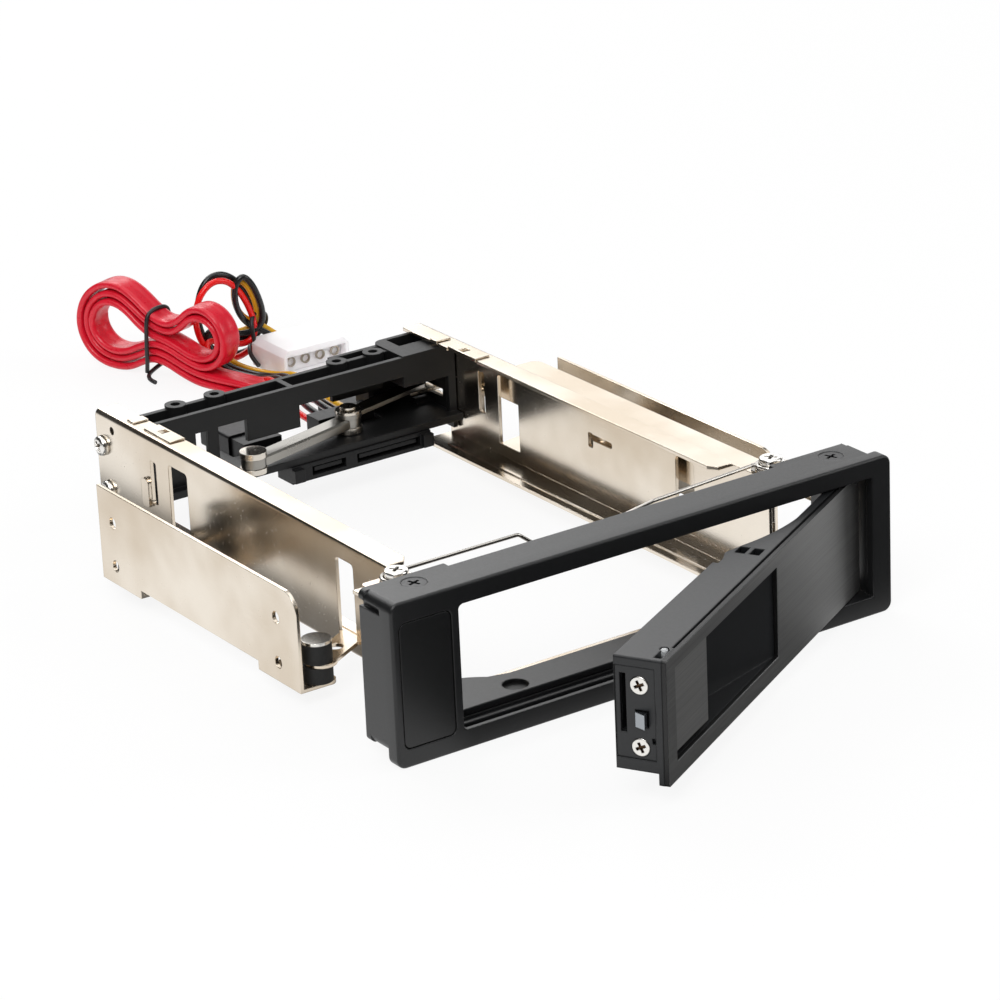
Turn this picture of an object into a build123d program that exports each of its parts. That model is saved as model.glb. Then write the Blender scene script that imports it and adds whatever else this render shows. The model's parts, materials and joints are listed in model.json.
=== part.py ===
"""Hot swap drive cage for one 3.5 inch drive, made to fit a half-height 5.25 inch bay.

Two outer brackets screw to the bay. They carry the inner cage on four rubber dampers, so the
drive floats. The front bezel holds a side-hinged door with a sprung latch. Opening the door
pushes a rod back along the right rail. The rod turns a lever at the rear, and the lever's left
end pushes the drive forward, off its connector.

Millimetres. X is to the right, Y to the rear and Z up. The origin is under the middle of the
object, with the door at rest as modelled, and Z = 0 is the bezel's bottom edge.
"""

import math
import os

from build123d import *

os.makedirs("parts", exist_ok=True)

# Drive, bay and sheet
drive_width = 101.6
drive_side_gap = 0.5
bay_width = 146.0
sheet = 1.0
slide_gap = 0.3
pin_fit = 0.02
turn_fit = 0.06

# Bezel
bezel_width = 148.5
bezel_height = 42.0
lip = 4.0
lip_corner = 2.5
lip_edge = 0.7
beam_depth = 11.5
block_depth = 13.5
block_left_end = -49.2
block_right_start = 46.5
body_right = 70.0
body_bottom = 3.2
opening_left = -55.5
opening_right = 68.3
opening_bottom = 5.0
opening_top = 37.1
opening_corner = 1.2
hinge_wall = 1.3
hinge_boss_r = 3.6
hinge_boss_bottom = 1.2
panel_width = 14.8
panel_height = 32.1
panel_corner = 2.0
panel_thick = 1.4
panel_gap = 0.3
groove_deep = 2.4
groove_wide = 1.8
top_screw_x = 62.0
top_screw_depth = 8.4
top_screw_head = 6.4
top_screw_shank = 3.0
top_screw_long = 4.6

# Door
hinge_x = 57.7
hinge_depth = 4.9
hinge_pin_d = 3.0
crank_along = 2.9
crank_deep = 3.0
crank_pin_r = 0.9
rest_open = 30.3
door_gap = 0.3
door_heel = 9.4
door_bottom = 5.3
door_top = 36.5
door_deep = 13.0
door_body_bottom = 8.4
door_frame_deep = 2.5
door_corner = 0.5
face_thick = 1.2
recess_start = 5.2
recess_end = 67.3
recess_bottom = 9.8
recess_top = 33.0
recess_deep = 9.0
scoop_start = 27.6
slider_right = 25.8
slider_edge = 0.8
slider_sunk = 0.8
slider_thick = 2.8
end_plate_thick = 1.2
bolt_wide = 2.8
bolt_tall = 3.7
bolt_out = 1.8
bolt_z = 21.5
bolt_depth = 6.3
latch_travel = 4.0
end_screw_head = 4.5
end_screw_sunk = 0.8
end_screw_z = (14.3, 29.7)
end_screw_depth = 6.8

# Inner rails
rail_rear = 177.2
rail_front = 20.0
rail_top = 34.8
rail_bottom = 5.5
flange_front = 35.5
flange_wide = 6.7
shelf_flange_wide = 10.0
shelf_flange_front = 26.0
shelf_flange_rear = 164.0
rear_foot_z = 9.5
window_top = 30.0
window_bottom = 9.0
front_window = (51.2, 59.2)
rear_window = (130.2, 139.7)
window_corner = 1.2
ear_wide = 11.0
corner_screw_x = 56.2
corner_screw_depth = 25.2

# Outer brackets and dampers
bracket_front = 44.6
bracket_rear = 140.8
bracket_top = 29.6
bracket_mid_bottom = 6.2
bracket_bottom = 3.9
foot_long = 19.5
foot_wide = 11.2
bay_hole_r = 1.6
bay_hole_front = 54.3
bay_hole_low = 9.1
bay_hole_pitch_y = 79.25
bay_hole_pitch_z = 11.9
damper_from_bracket = 7.0
damper_depths = (47.6, 137.6)
damper_r = 3.75
damper_top = 15.0
damper_tab_z = 9.0
damper_cap = 0.8
stud_r = 1.5

# Rear holder
holder_front = 160.0
holder_wall = 1.6
holder_rear = 182.0
channel_rear = 169.2
beam_top = 33.2
beam_bottom = 27.8
ledge_bottom = 12.0
ledge_top = 14.0
ledge_front = 157.0
ledge_rear = 177.0
header_ledge_rear = 169.6
holder_block_start = 34.2
block_top = 33.5
block_rear = 176.0
block_bottom = 24.5
boss_xs = (-32.8, -20.7, 18.1, 29.9)
boss_depth = 168.4
boss_r = 2.9
boss_hole_r = 1.3
rail_screw_spots = ((174.0, 25.5), (172.2, 13.3))
rail_screw_r = 1.45
rail_screw_head_r = 2.75

# Ejector lever and push rod
lever_x = 18.9
lever_depth = 165.2
lever_slope = 14.6
lever_left = 37.4
lever_right = 26.3
lever_wide = 6.0
lever_low = 16.0
left_bar_tall = 2.6
right_bar_thick = 1.2
lever_disc_r = 3.65
lever_pin_r = 1.3
rod_pin_r = 1.0
rod_left = 53.7
rod_right = 66.1
rod_top = 30.0
rod_web_tall = 8.0
rod_nose_left = 59.5
rod_nose_right = 61.1
rod_shoulder = 11.6
rod_gap = 0.15
rod_flange_front = 22.0
rod_flange_rear = 142.0
rod_rear = 176.0
rod_arm_z = 17.3
lever_clear_top = 20.6
lever_clear_rear = 175.2

# Connectors
board_top = 10.6
board_thick = 1.6
receptacle_left = -5.2
receptacle_right = 39.6
receptacle_front = 156.4
receptacle_bottom = 7.2

# Cables
ribbon_wide = 8.0

# Places that follow from the sizes above
rail_x = drive_width / 2 + drive_side_gap + sheet
rail_in = rail_x - sheet
bracket_x = bay_width / 2
foot_inner = bracket_x - foot_wide
damper_x = bracket_x - damper_from_bracket
hinge_s = hinge_x - opening_left - door_gap
door_long = hinge_s + door_heel
open_sin = math.sin(math.radians(rest_open))
open_cos = math.cos(math.radians(rest_open))
door_reach = hinge_s * open_sin + hinge_depth * open_cos - hinge_depth
front_y = (door_reach - holder_rear) / 2
holder_x = rail_in - slide_gap

front = Plane(origin=(0, front_y, 0), x_dir=(1, 0, 0), z_dir=(0, -1, 0))
door_origin = (
    hinge_x - hinge_s * open_cos + hinge_depth * open_sin,
    front_y + hinge_depth - hinge_s * open_sin - hinge_depth * open_cos,
    0,
)
door_plane = Plane(origin=door_origin, x_dir=(open_cos, open_sin, 0), z_dir=(0, 0, 1))
door_face = Plane(origin=door_origin, x_dir=(open_cos, open_sin, 0), z_dir=(open_sin, -open_cos, 0))
door_end = Plane(origin=door_origin, x_dir=(open_sin, -open_cos, 0), z_dir=(-open_cos, -open_sin, 0))


def back(depth):
    """The Y of a point this far behind the bezel's front face."""
    return front_y + depth


def box(x0, x1, d0, d1, z0, z1, mode=Mode.ADD):
    """A block given by its sides, with depths counted from the bezel's front face."""
    with Locations(((x0 + x1) / 2, back((d0 + d1) / 2), (z0 + z1) / 2)):
        Box(abs(x1 - x0), abs(d1 - d0), z1 - z0, mode=mode)


def panel(x0, x1, z0, z1, d0, d1, corner=0.0, mode=Mode.ADD):
    """A plate across the bay, with its four corners rounded when a corner is given."""
    with BuildSketch(front.offset(-d0)) as outline:
        with Locations(((x0 + x1) / 2, (z0 + z1) / 2)):
            if corner:
                RectangleRounded(x1 - x0, z1 - z0, corner)
            else:
                Rectangle(x1 - x0, z1 - z0)
    extrude(outline.sketch, amount=d0 - d1, mode=mode)


def post(x, depth, z0, z1, radius, mode=Mode.ADD):
    """An upright round post or hole."""
    with Locations((x, back(depth), (z0 + z1) / 2)):
        Cylinder(radius, z1 - z0, mode=mode)


def side_window(side, d0, d1, z0, z1, corner=0.0):
    """A cut through a side wall, on the left (-1) or the right (+1)."""
    with BuildSketch(Plane.YZ.offset(side * rail_x - 2 * sheet)) as outline:
        with Locations((back((d0 + d1) / 2), (z0 + z1) / 2)):
            if corner:
                RectangleRounded(d1 - d0, z1 - z0, corner)
            else:
                Rectangle(d1 - d0, z1 - z0)
    extrude(outline.sketch, amount=4 * sheet, mode=Mode.SUBTRACT)


def side_hole(x, depth, z, radius, reach):
    """A round cut along X through whatever stands within reach of x."""
    with Locations((x, back(depth), z)):
        Cylinder(radius, 2 * reach, rotation=(0, 90, 0), mode=Mode.SUBTRACT)


def side_post(x0, x1, depth, z, radius):
    """A round post along X."""
    with Locations(((x0 + x1) / 2, back(depth), z)):
        Cylinder(radius, abs(x1 - x0), rotation=(0, 90, 0))


def side_name(side):
    """The word that a piece on this side starts with."""
    return "left" if side < 0 else "right"


def save(built, name):
    """Label a finished piece and write its file."""
    built.part.label = name
    export_step(built.part, f"parts/{name}.step")


# Bezel: a moulded frame with a lip that stops against the bay's front
with BuildPart() as bezel_frame:
    with BuildSketch(front):
        with Locations((0, bezel_height / 2)):
            RectangleRounded(bezel_width, bezel_height, lip_corner)
    extrude(amount=-lip)
    fillet(bezel_frame.faces().sort_by(Axis.Y)[0].edges(), lip_edge)
    with BuildSketch(front.offset(-lip)) as body_outline:
        with Locations(((body_right - bezel_width / 2) / 2, (bezel_height + body_bottom) / 2)):
            Rectangle(body_right + bezel_width / 2, bezel_height - body_bottom)
        fillet(body_outline.vertices().group_by(Axis.X)[0], lip_corner)
    extrude(amount=lip - beam_depth)
    panel(-bezel_width / 2, block_left_end, body_bottom, bezel_height, beam_depth, block_depth, 1.6)
    panel(block_right_start, body_right, body_bottom, bezel_height, beam_depth, block_depth, 0.8)
    box(
        hinge_x - hinge_boss_r,
        hinge_x + hinge_boss_r,
        hinge_depth - hinge_boss_r,
        hinge_depth + hinge_boss_r,
        hinge_boss_bottom,
        opening_bottom,
    )
    # The opening, rounded at its left in the lip, and wider behind the lip on the hinge side
    with BuildSketch(front) as opening:
        with Locations(((opening_left + opening_right) / 2, (opening_bottom + opening_top) / 2)):
            Rectangle(opening_right - opening_left, opening_top - opening_bottom)
        fillet(opening.vertices().group_by(Axis.X)[0], opening_corner)
    extrude(amount=-lip, mode=Mode.SUBTRACT)
    panel(opening_left, opening_right, opening_bottom, opening_top, lip, block_depth, mode=Mode.SUBTRACT)
    panel(
        hinge_x,
        body_right - hinge_wall,
        opening_bottom,
        opening_top,
        2.6,
        block_depth,
        mode=Mode.SUBTRACT,
    )
    # Recess for the blank panel, and the hollow behind it
    panel_mid = (opening_left - bezel_width / 2) / 2
    panel(
        panel_mid - panel_width / 2,
        panel_mid + panel_width / 2,
        opening_bottom - 0.3,
        opening_bottom - 0.3 + panel_height,
        0,
        panel_thick + 0.1,
        panel_corner,
        Mode.SUBTRACT,
    )
    panel(
        panel_mid - panel_width / 2 + 0.8,
        panel_mid + panel_width / 2 - 0.8,
        opening_bottom + 1,
        opening_top - 1,
        lip,
        block_depth,
        1.0,
        Mode.SUBTRACT,
    )
    # Snap slot along the top of the left side
    box(
        -bezel_width / 2,
        -bezel_width / 2 + 1.2,
        lip + 0.9,
        block_depth,
        38.0,
        39.7,
        Mode.SUBTRACT,
    )
    # Two steps in the sill
    box(
        opening_left + 1.5,
        hinge_x - 8,
        1.5,
        1.5 + groove_wide,
        opening_bottom - groove_deep,
        opening_bottom,
        Mode.SUBTRACT,
    )
    box(
        opening_left + 1.5,
        hinge_x - 8,
        4.5,
        4.5 + groove_wide,
        body_bottom + 0.8,
        opening_bottom,
        Mode.SUBTRACT,
    )
    # Strike hole for the latch bolt
    box(
        opening_left - bolt_out - 0.6,
        opening_left + 0.1,
        bolt_depth - bolt_wide / 2 - 0.4,
        bolt_depth + bolt_wide / 2 + 0.4,
        bolt_z - bolt_tall / 2 - 0.4,
        bolt_z + bolt_tall / 2 + 0.4,
        Mode.SUBTRACT,
    )
    for side in (-1, 1):
        # Slot for the steel strap, and the screw's countersunk hole
        box(
            side * 53.0,
            side * 65.5,
            6.7,
            block_depth,
            38.2,
            38.2 + sheet,
            Mode.SUBTRACT,
        )
        with Locations(
            Plane(origin=(side * top_screw_x, back(top_screw_depth), bezel_height), z_dir=(0, 0, 1))
        ):
            CounterSinkHole(
                radius=top_screw_shank / 2 + pin_fit,
                counter_sink_radius=top_screw_head / 2 + pin_fit,
                depth=bezel_height - opening_top + 0.2,
            )
    post(
        hinge_x,
        hinge_depth,
        opening_top - 0.1,
        40.7,
        hinge_pin_d / 2 + pin_fit,
        Mode.SUBTRACT,
    )
    post(
        hinge_x,
        hinge_depth,
        1.9,
        opening_bottom + 0.1,
        hinge_pin_d / 2 + pin_fit,
        Mode.SUBTRACT,
    )
save(bezel_frame, "bezel_frame")

with BuildPart() as bezel_blank_panel:
    panel(
        panel_mid - panel_width / 2 + panel_gap,
        panel_mid + panel_width / 2 - panel_gap,
        opening_bottom - 0.3 + panel_gap,
        opening_bottom - 0.3 + panel_height - panel_gap,
        0.1,
        panel_thick + 0.1,
        panel_corner - panel_gap,
    )
save(bezel_blank_panel, "bezel_blank_panel")

with BuildPart() as bezel_top_screws:
    for side in (-1, 1):
        head_deep = (top_screw_head - top_screw_shank) / 2
        with BuildSketch(Plane.XY.offset(bezel_height - 0.1)):
            with Locations((side * top_screw_x, back(top_screw_depth))):
                Circle(top_screw_head / 2 - 0.1)
        with BuildSketch(Plane.XY.offset(bezel_height - 0.1 - head_deep)):
            with Locations((side * top_screw_x, back(top_screw_depth))):
                Circle(top_screw_shank / 2)
        loft()
        post(
            side * top_screw_x,
            top_screw_depth,
            bezel_height - top_screw_long,
            bezel_height - 0.1 - head_deep,
            top_screw_shank / 2,
        )
        for turn in (0, 90):
            with BuildSketch(Plane.XY.offset(bezel_height - 1.1)):
                with Locations((side * top_screw_x, back(top_screw_depth))):
                    Rectangle(3.4, 0.75, rotation=turn + 20)
            extrude(amount=1.2, mode=Mode.SUBTRACT)
save(bezel_top_screws, "bezel_top_screws")

with BuildPart() as hinge_pin:
    post(hinge_x, hinge_depth, 2.0, 40.5, hinge_pin_d / 2)
save(hinge_pin, "hinge_pin")

# Sill plate behind the lip, with a curved wing on the left
sill_bottom = rail_bottom
sill_top = 6.8
with BuildPart() as bezel_sill:
    with BuildSketch(Plane.XY.offset(sill_bottom)):
        with BuildLine():
            Polyline(
                (46.0, back(6.6)),
                (46.0, back(17.5)),
                (-30.0, back(17.5)),
                (-36.0, back(19.0)),
            )
            ThreePointArc((-36.0, back(19.0)), (-42.0, back(22.8)), (-50.5, back(24.6)))
            Polyline((-50.5, back(24.6)), (-50.5, back(13.0)), (-53.0, back(13.0)), (-53.0, back(6.6)))
            Line((-53.0, back(6.6)), (46.0, back(6.6)))
        make_face()
    extrude(amount=sill_top - sill_bottom)
    box(-52.0, 45.0, 6.6, beam_depth, opening_bottom, sill_bottom)
    post(-33.2, 10.9, opening_bottom, sill_top, 3.25, Mode.SUBTRACT)
save(bezel_sill, "bezel_sill")

# Steel tie across the front, under the sill, with feet under the rails
with BuildPart() as front_cross_tie:
    with BuildSketch(Plane.XY.offset(rail_bottom - sheet)):
        with Locations((0, back(17.4))):
            Rectangle(2 * rail_x, 7.2)
        for side in (-1, 1):
            with Locations((side * (rail_x - 4.5), back(26.0))):
                Rectangle(9.0, 24.0)
    extrude(amount=sheet)
save(front_cross_tie, "front_cross_tie")

# Straps that hold the bezel's top to the rails' front ears
for side in (-1, 1):
    with BuildPart() as strap:
        with BuildSketch(Plane.YZ.offset(min(side * 53.1, side * 65.4))):
            with BuildLine():
                Polyline(
                    (back(6.9), 38.2 + 0.05),
                    (back(16.5), 38.2 + 0.05),
                    (back(16.5), rail_top - 2 * sheet),
                    (back(30.4), rail_top - 2 * sheet),
                    (back(30.4), rail_top - sheet),
                    (back(16.5) + sheet, rail_top - sheet),
                    (back(16.5) + sheet, 38.15 + sheet),
                    (back(6.9), 38.15 + sheet),
                    close=True,
                )
            make_face()
        extrude(amount=12.3)
        post(
            side * top_screw_x,
            top_screw_depth,
            38.0,
            40.0,
            top_screw_shank / 2 + pin_fit,
            Mode.SUBTRACT,
        )
        post(
            side * corner_screw_x,
            corner_screw_depth,
            rail_top - 3 * sheet,
            rail_top,
            1.5 + pin_fit,
            Mode.SUBTRACT,
        )
    save(strap, f"{side_name(side)}_bezel_strap")

# Door, drawn in its own plane: along the face, into its depth, and up
with BuildPart() as door_body:
    with BuildSketch(door_plane.offset(door_body_bottom)):
        with BuildLine():
            Polyline(
                (0, face_thick),
                (0, door_deep),
                (57.6, door_deep - 0.6),
                (57.6, 11.0),
                (60.5, 11.0),
                (64.2, 12.0),
                (70.5, 9.4),
            )
            ThreePointArc((70.5, 9.4), (80.5, 5.6), (90.0, 3.8))
            Polyline(
                (90.0, 3.8),
                (hinge_s - 6, 3.8),
                (hinge_s - 3, hinge_depth + 3.0),
                (hinge_s + 2, hinge_depth + 3.0),
                (hinge_s + 4.5, door_frame_deep),
                (hinge_s + 4.5, face_thick),
                (0, face_thick),
            )
        make_face()
    extrude(amount=door_top - door_body_bottom)
    # Front frame, a rim deeper than the body at the bottom
    with BuildSketch(door_face.offset(-face_thick)) as door_frame:
        with Locations((door_long / 2, (door_bottom + door_top) / 2)):
            Rectangle(door_long, door_top - door_bottom)
        fillet(door_frame.vertices().group_by(Axis.X)[0].sort_by(Axis.Y)[:1], door_corner)
    extrude(amount=face_thick - door_frame_deep)
    end_top = door_plane.from_local_coords((0, door_deep / 2, door_top))
    fillet(door_body.edges().sort_by_distance(end_top)[:1], door_corner)
    # Groove along the top, between the face and the body
    with BuildSketch(door_plane.offset(door_top - 1.0)):
        with Locations((door_long / 2 + 4, face_thick + 0.35)):
            Rectangle(door_long - 8, 0.7)
    extrude(amount=1.1, mode=Mode.SUBTRACT)
    # Two pockets beside the heel of the thick part
    with BuildSketch(door_plane.offset(door_top - 7)):
        with Locations((67.0, 8.6)):
            Rectangle(4.0, 2.6)
        with Locations((67.0, 4.9)):
            Rectangle(4.0, 2.6)
    extrude(amount=7, mode=Mode.SUBTRACT)
    # Finger scoop, deepest beside the slider
    with BuildSketch(door_plane.offset(recess_bottom)):
        with BuildLine():
            Polyline(
                (recess_start, 0),
                (recess_start, slider_thick + 2.2),
                (scoop_start, slider_thick + 2.2),
                (scoop_start, recess_deep),
                (scoop_start + 6, recess_deep - 0.3),
                (recess_end, face_thick),
                (recess_end, 0),
                close=True,
            )
        make_face()
    extrude(amount=recess_top - recess_bottom, mode=Mode.SUBTRACT)
    # Channel for the latch behind the slider
    with BuildSketch(door_plane.offset(bolt_z - bolt_tall / 2 - 0.3)):
        with Locations((13.0, bolt_depth + 0.2)):
            Rectangle(26.0, bolt_wide + 0.6)
    extrude(amount=bolt_tall + 0.6, mode=Mode.SUBTRACT)
    # Seat of the end plate, its screw holes and the long slot
    with BuildSketch(door_end):
        with Locations((-7.9, 22.8)):
            Rectangle(10.0, 23.0)
    extrude(amount=-end_plate_thick, mode=Mode.SUBTRACT)
    with BuildSketch(door_end):
        for z in end_screw_z:
            with Locations((-end_screw_depth, z)):
                Circle(1.1 + pin_fit)
        with Locations((-10.9, 25.0)):
            Rectangle(1.5, 14.6)
    extrude(amount=-7.0, mode=Mode.SUBTRACT)
    # Pocket round the hinge for the push rod's nose
    with BuildSketch(door_plane.offset(rod_top - sheet - 0.5)):
        with Locations((hinge_s + 4.6, 9.0)):
            Rectangle(14.4, 2 * (9.0 - face_thick))
    extrude(amount=sheet + 1.0, mode=Mode.SUBTRACT)
    with BuildSketch(door_plane.offset(rod_top - sheet - 1.4)):
        with Locations((hinge_s + crank_along, crank_deep)):
            Circle(crank_pin_r + pin_fit)
    extrude(amount=sheet + 2.8, mode=Mode.SUBTRACT)
    # Window for the indicator, and the bore of the hinge
    with BuildSketch(door_plane.offset(door_top - 1.6)):
        with Locations((4.2, 2.7)):
            Rectangle(5.4, 1.9)
        with Locations((6.9, 3.3)):
            Circle(1.1)
    extrude(amount=2, mode=Mode.SUBTRACT)
    with BuildSketch(door_plane):
        with Locations((hinge_s, hinge_depth)):
            Circle(hinge_pin_d / 2 + turn_fit)
    extrude(amount=bezel_height, mode=Mode.SUBTRACT)
save(door_body, "door_body")

with BuildPart() as door_crank_pin:
    with BuildSketch(door_plane.offset(rod_top - sheet - 1.4)):
        with Locations((hinge_s + crank_along, crank_deep)):
            Circle(crank_pin_r)
    extrude(amount=sheet + 2.8)
save(door_crank_pin, "door_crank_pin")

with BuildPart() as door_face_plate:
    with BuildSketch(door_face) as face_outline:
        with Locations((door_long / 2, (door_bottom + door_top) / 2)):
            Rectangle(door_long - 0.2, door_top - door_bottom)
        fillet(face_outline.vertices(), door_corner)
        with Locations(
            ((recess_start + recess_end) / 2, (recess_bottom + recess_top) / 2),
        ):
            Rectangle(recess_end - recess_start, recess_top - recess_bottom, mode=Mode.SUBTRACT)
    extrude(amount=-face_thick)
save(door_face_plate, "door_face_plate")

with BuildPart() as door_end_plate:
    with BuildSketch(door_end.offset(-0.2)):
        with Locations((-7.9, 22.8)):
            Rectangle(9.8, 22.8)
        for z in end_screw_z:
            with Locations((-end_screw_depth, z)):
                Circle(1.1 + pin_fit, mode=Mode.SUBTRACT)
        with Locations((-bolt_depth, bolt_z)):
            Rectangle(bolt_wide + 0.6, bolt_tall + 0.6, mode=Mode.SUBTRACT)
        with Locations((-10.9, 25.0)):
            Rectangle(1.5, 14.6, mode=Mode.SUBTRACT)
        with Locations((-3.5, 16.2)):
            Rectangle(0.9, 1.4, mode=Mode.SUBTRACT)
    extrude(amount=0.2 - end_plate_thick)
    with BuildSketch(door_end.offset(-0.2)):
        for z in end_screw_z:
            with Locations((-end_screw_depth, z)):
                Circle(end_screw_head / 2 + pin_fit)
    extrude(amount=0.2 - end_screw_sunk, mode=Mode.SUBTRACT)
save(door_end_plate, "door_end_plate")

with BuildPart() as door_end_screws:
    with BuildSketch(door_end.offset(-end_screw_sunk)):
        for z in end_screw_z:
            with Locations((-end_screw_depth, z)):
                Circle(end_screw_head / 2)
    extrude(amount=end_screw_sunk)
    end_axis = Axis(door_origin, (-open_cos, -open_sin, 0))
    fillet(door_end_screws.faces().sort_by(end_axis)[-2:].edges(), 0.25)
    with BuildSketch(door_end.offset(-end_screw_sunk)):
        for z in end_screw_z:
            with Locations((-end_screw_depth, z)):
                Circle(1.1)
    extrude(amount=-4.4)
    with BuildSketch(door_end.offset(-0.6)):
        for z in end_screw_z:
            with Locations((-end_screw_depth, z)):
                Rectangle(2.6, 0.7, rotation=25)
                Rectangle(2.6, 0.7, rotation=115)
    extrude(amount=1.0, mode=Mode.SUBTRACT)
save(door_end_screws, "door_end_screws")

with BuildPart() as door_indicator:
    with BuildSketch(door_plane.offset(door_top - 1.6)):
        with Locations((6.9, 3.3)):
            Circle(1.0)
    extrude(amount=1.6)
    fillet(door_indicator.faces().sort_by(Axis.Z)[-1].edges(), 0.6)
save(door_indicator, "door_indicator")

# Latch: the finger slider and its bevelled bolt
with BuildPart() as latch_slider:
    with BuildSketch(door_face.offset(-slider_sunk)):
        with Locations(
            (
                (recess_start + slider_edge + slider_right) / 2,
                (recess_bottom + 1.5 + recess_top - 0.6) / 2,
            )
        ):
            Rectangle(
                slider_right - recess_start - slider_edge,
                recess_top - recess_bottom - 2.1,
            )
    extrude(amount=-slider_thick)
    fillet(latch_slider.edges().filter_by(Axis.Z).group_by(Axis.X)[-1], 0.6)
    with BuildSketch(door_plane.offset(bolt_z - bolt_tall / 2)):
        with Locations((14.0, (slider_sunk + slider_thick + bolt_depth - bolt_wide / 2) / 2)):
            Rectangle(6.0, bolt_depth - bolt_wide / 2 - slider_sunk - slider_thick)
    extrude(amount=bolt_tall)
save(latch_slider, "latch_slider")

with BuildPart() as latch_bolt:
    with BuildSketch(door_plane.offset(bolt_z - bolt_tall / 2)):
        with BuildLine():
            Polyline(
                (-bolt_out, bolt_depth - bolt_wide / 2),
                (-bolt_out + 0.8, bolt_depth - bolt_wide / 2),
                (18.0, bolt_depth - bolt_wide / 2),
                (18.0, bolt_depth + bolt_wide / 2),
                (-0.6, bolt_depth + bolt_wide / 2),
                close=True,
            )
        make_face()
    extrude(amount=bolt_tall)
save(latch_bolt, "latch_bolt")

# Inner rails: C-shaped sheet that the drive slides in
tongue_front = 141.0
tongue_rear = 155.3
tongue_in = rail_x - flange_wide
tongue_out = 50.0
for side in (-1, 1):
    with BuildPart() as rail:
        with BuildSketch(Plane.YZ.offset(min(side * rail_x, side * rail_in))) as wall:
            with BuildLine():
                Polyline(
                    (back(rail_front), 12.0),
                    (back(shelf_flange_front), rail_bottom),
                    (back(shelf_flange_rear), rail_bottom),
                    (back(shelf_flange_rear), rear_foot_z),
                    (back(rail_rear), rear_foot_z),
                    (back(rail_rear), rail_top),
                    (back(rail_front), rail_top),
                    close=True,
                )
            make_face()
        extrude(amount=sheet)
        with BuildSketch(Plane.XY.offset(rail_top - sheet)) as top_flange:
            with BuildLine():
                Polyline(
                    (side * rail_x, back(flange_front)),
                    (side * rail_x, back(rail_rear)),
                    (side * tongue_in, back(rail_rear)),
                    (side * tongue_in, back(flange_front) + 2.5),
                    (side * (tongue_in + 1.8), back(flange_front)),
                    close=True,
                )
            make_face()
            with Locations((side * (rail_x + ear_wide / 2 - 0.5), back(corner_screw_depth))):
                RectangleRounded(ear_wide + 1.0, 10.4, 1.5)
        extrude(amount=sheet)
        with BuildSketch(Plane.XY.offset(rail_bottom)) as bottom_flange:
            with Locations(
                (
                    side * (rail_x - shelf_flange_wide / 2),
                    back((shelf_flange_front + shelf_flange_rear) / 2),
                )
            ):
                Rectangle(shelf_flange_wide, shelf_flange_rear - shelf_flange_front)
            fillet(
                bottom_flange.vertices().sort_by_distance((0, back(shelf_flange_rear), rail_bottom))[:1],
                3.0,
            )
        extrude(amount=sheet)
        # A bead that stiffens the bottom flange
        box(
            side * (rail_x - 6.2),
            side * (rail_x - 7.4),
            shelf_flange_front + 4,
            shelf_flange_rear - 8,
            rail_bottom + sheet,
            rail_bottom + sheet + 0.35,
        )
        # Windows, and the tabs folded out of them to the dampers
        for window in (front_window, rear_window):
            side_window(side, window[0], window[1], damper_tab_z, window_top, window_corner)
        side_window(side, 146.2, 149.2, 16.6, 28.4, 0.6)
        for window, depth in zip((front_window, rear_window), damper_depths):
            with BuildSketch(Plane.XY.offset(damper_tab_z)) as tab:
                with BuildLine():
                    Polyline(
                        (side * rail_in, back(window[0])),
                        (side * rail_in, back(window[1])),
                        (side * (damper_x - 1.5), back(depth) + damper_r + 0.6),
                        (side * (damper_x - 1.5), back(depth) - damper_r - 0.2),
                        close=True,
                    )
                make_face()
                with Locations((side * (damper_x - 1.0), back(depth))):
                    Circle(damper_r + 0.35)
            extrude(amount=sheet)
            post(
                side * damper_x,
                depth,
                damper_tab_z - 1,
                damper_tab_z + 2,
                stud_r + 0.5,
                Mode.SUBTRACT,
            )
            post(
                side * (rail_x + 5.8),
                (window[0] + window[1]) / 2 * 0.55 + depth * 0.45,
                damper_tab_z - 1,
                damper_tab_z + 2,
                1.9,
                Mode.SUBTRACT,
            )
        # Lance that locks the rear holder, beside its slot
        with BuildSketch(Plane.YZ.offset(side * (rail_x + sheet / 2) - sheet / 2)):
            with Locations((back(151.2), 19.0)):
                RectangleRounded(3.6, 8.0, 1.2)
        extrude(amount=sheet)
        # Raised tongue and tab in the top flange
        for d0, d1 in ((tongue_front, tongue_rear), (159.8, 164.0)):
            box(
                side * tongue_in,
                side * tongue_out,
                d0,
                d1,
                rail_top - sheet,
                rail_top,
                Mode.SUBTRACT,
            )
            box(
                side * tongue_in,
                side * (tongue_out + 0.2),
                d0 + 0.5,
                d1 - 0.5,
                rail_top - sheet + 0.45,
                rail_top + 0.45,
            )
        box(
            side * 46.2,
            side * 48.6,
            148.2,
            150.6,
            rail_top - sheet,
            rail_top + sheet,
            Mode.SUBTRACT,
        )
        post(
            side * corner_screw_x,
            corner_screw_depth,
            rail_top - 2,
            rail_top + 1,
            1.6,
            Mode.SUBTRACT,
        )
        side_hole(side * rail_x, 168.7, 31.0, 1.1, 1.5)
        for depth, z in rail_screw_spots:
            side_hole(side * rail_x, depth, z, rail_screw_r + pin_fit, 1.5)
        if side > 0:
            # A narrow bent slot, and the way in for the rod's arm at the rear edge
            side_window(side, 87.0, 97.8, 23.5, 25.1, 0.7)
            side_window(side, 95.6, 97.8, 21.3, 25.4, 0.6)
            side_window(side, 164.6, 181.0, rod_arm_z - 1.0, rod_arm_z + 2.0)
    save(rail, f"{side_name(side)}_inner_rail")

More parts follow.
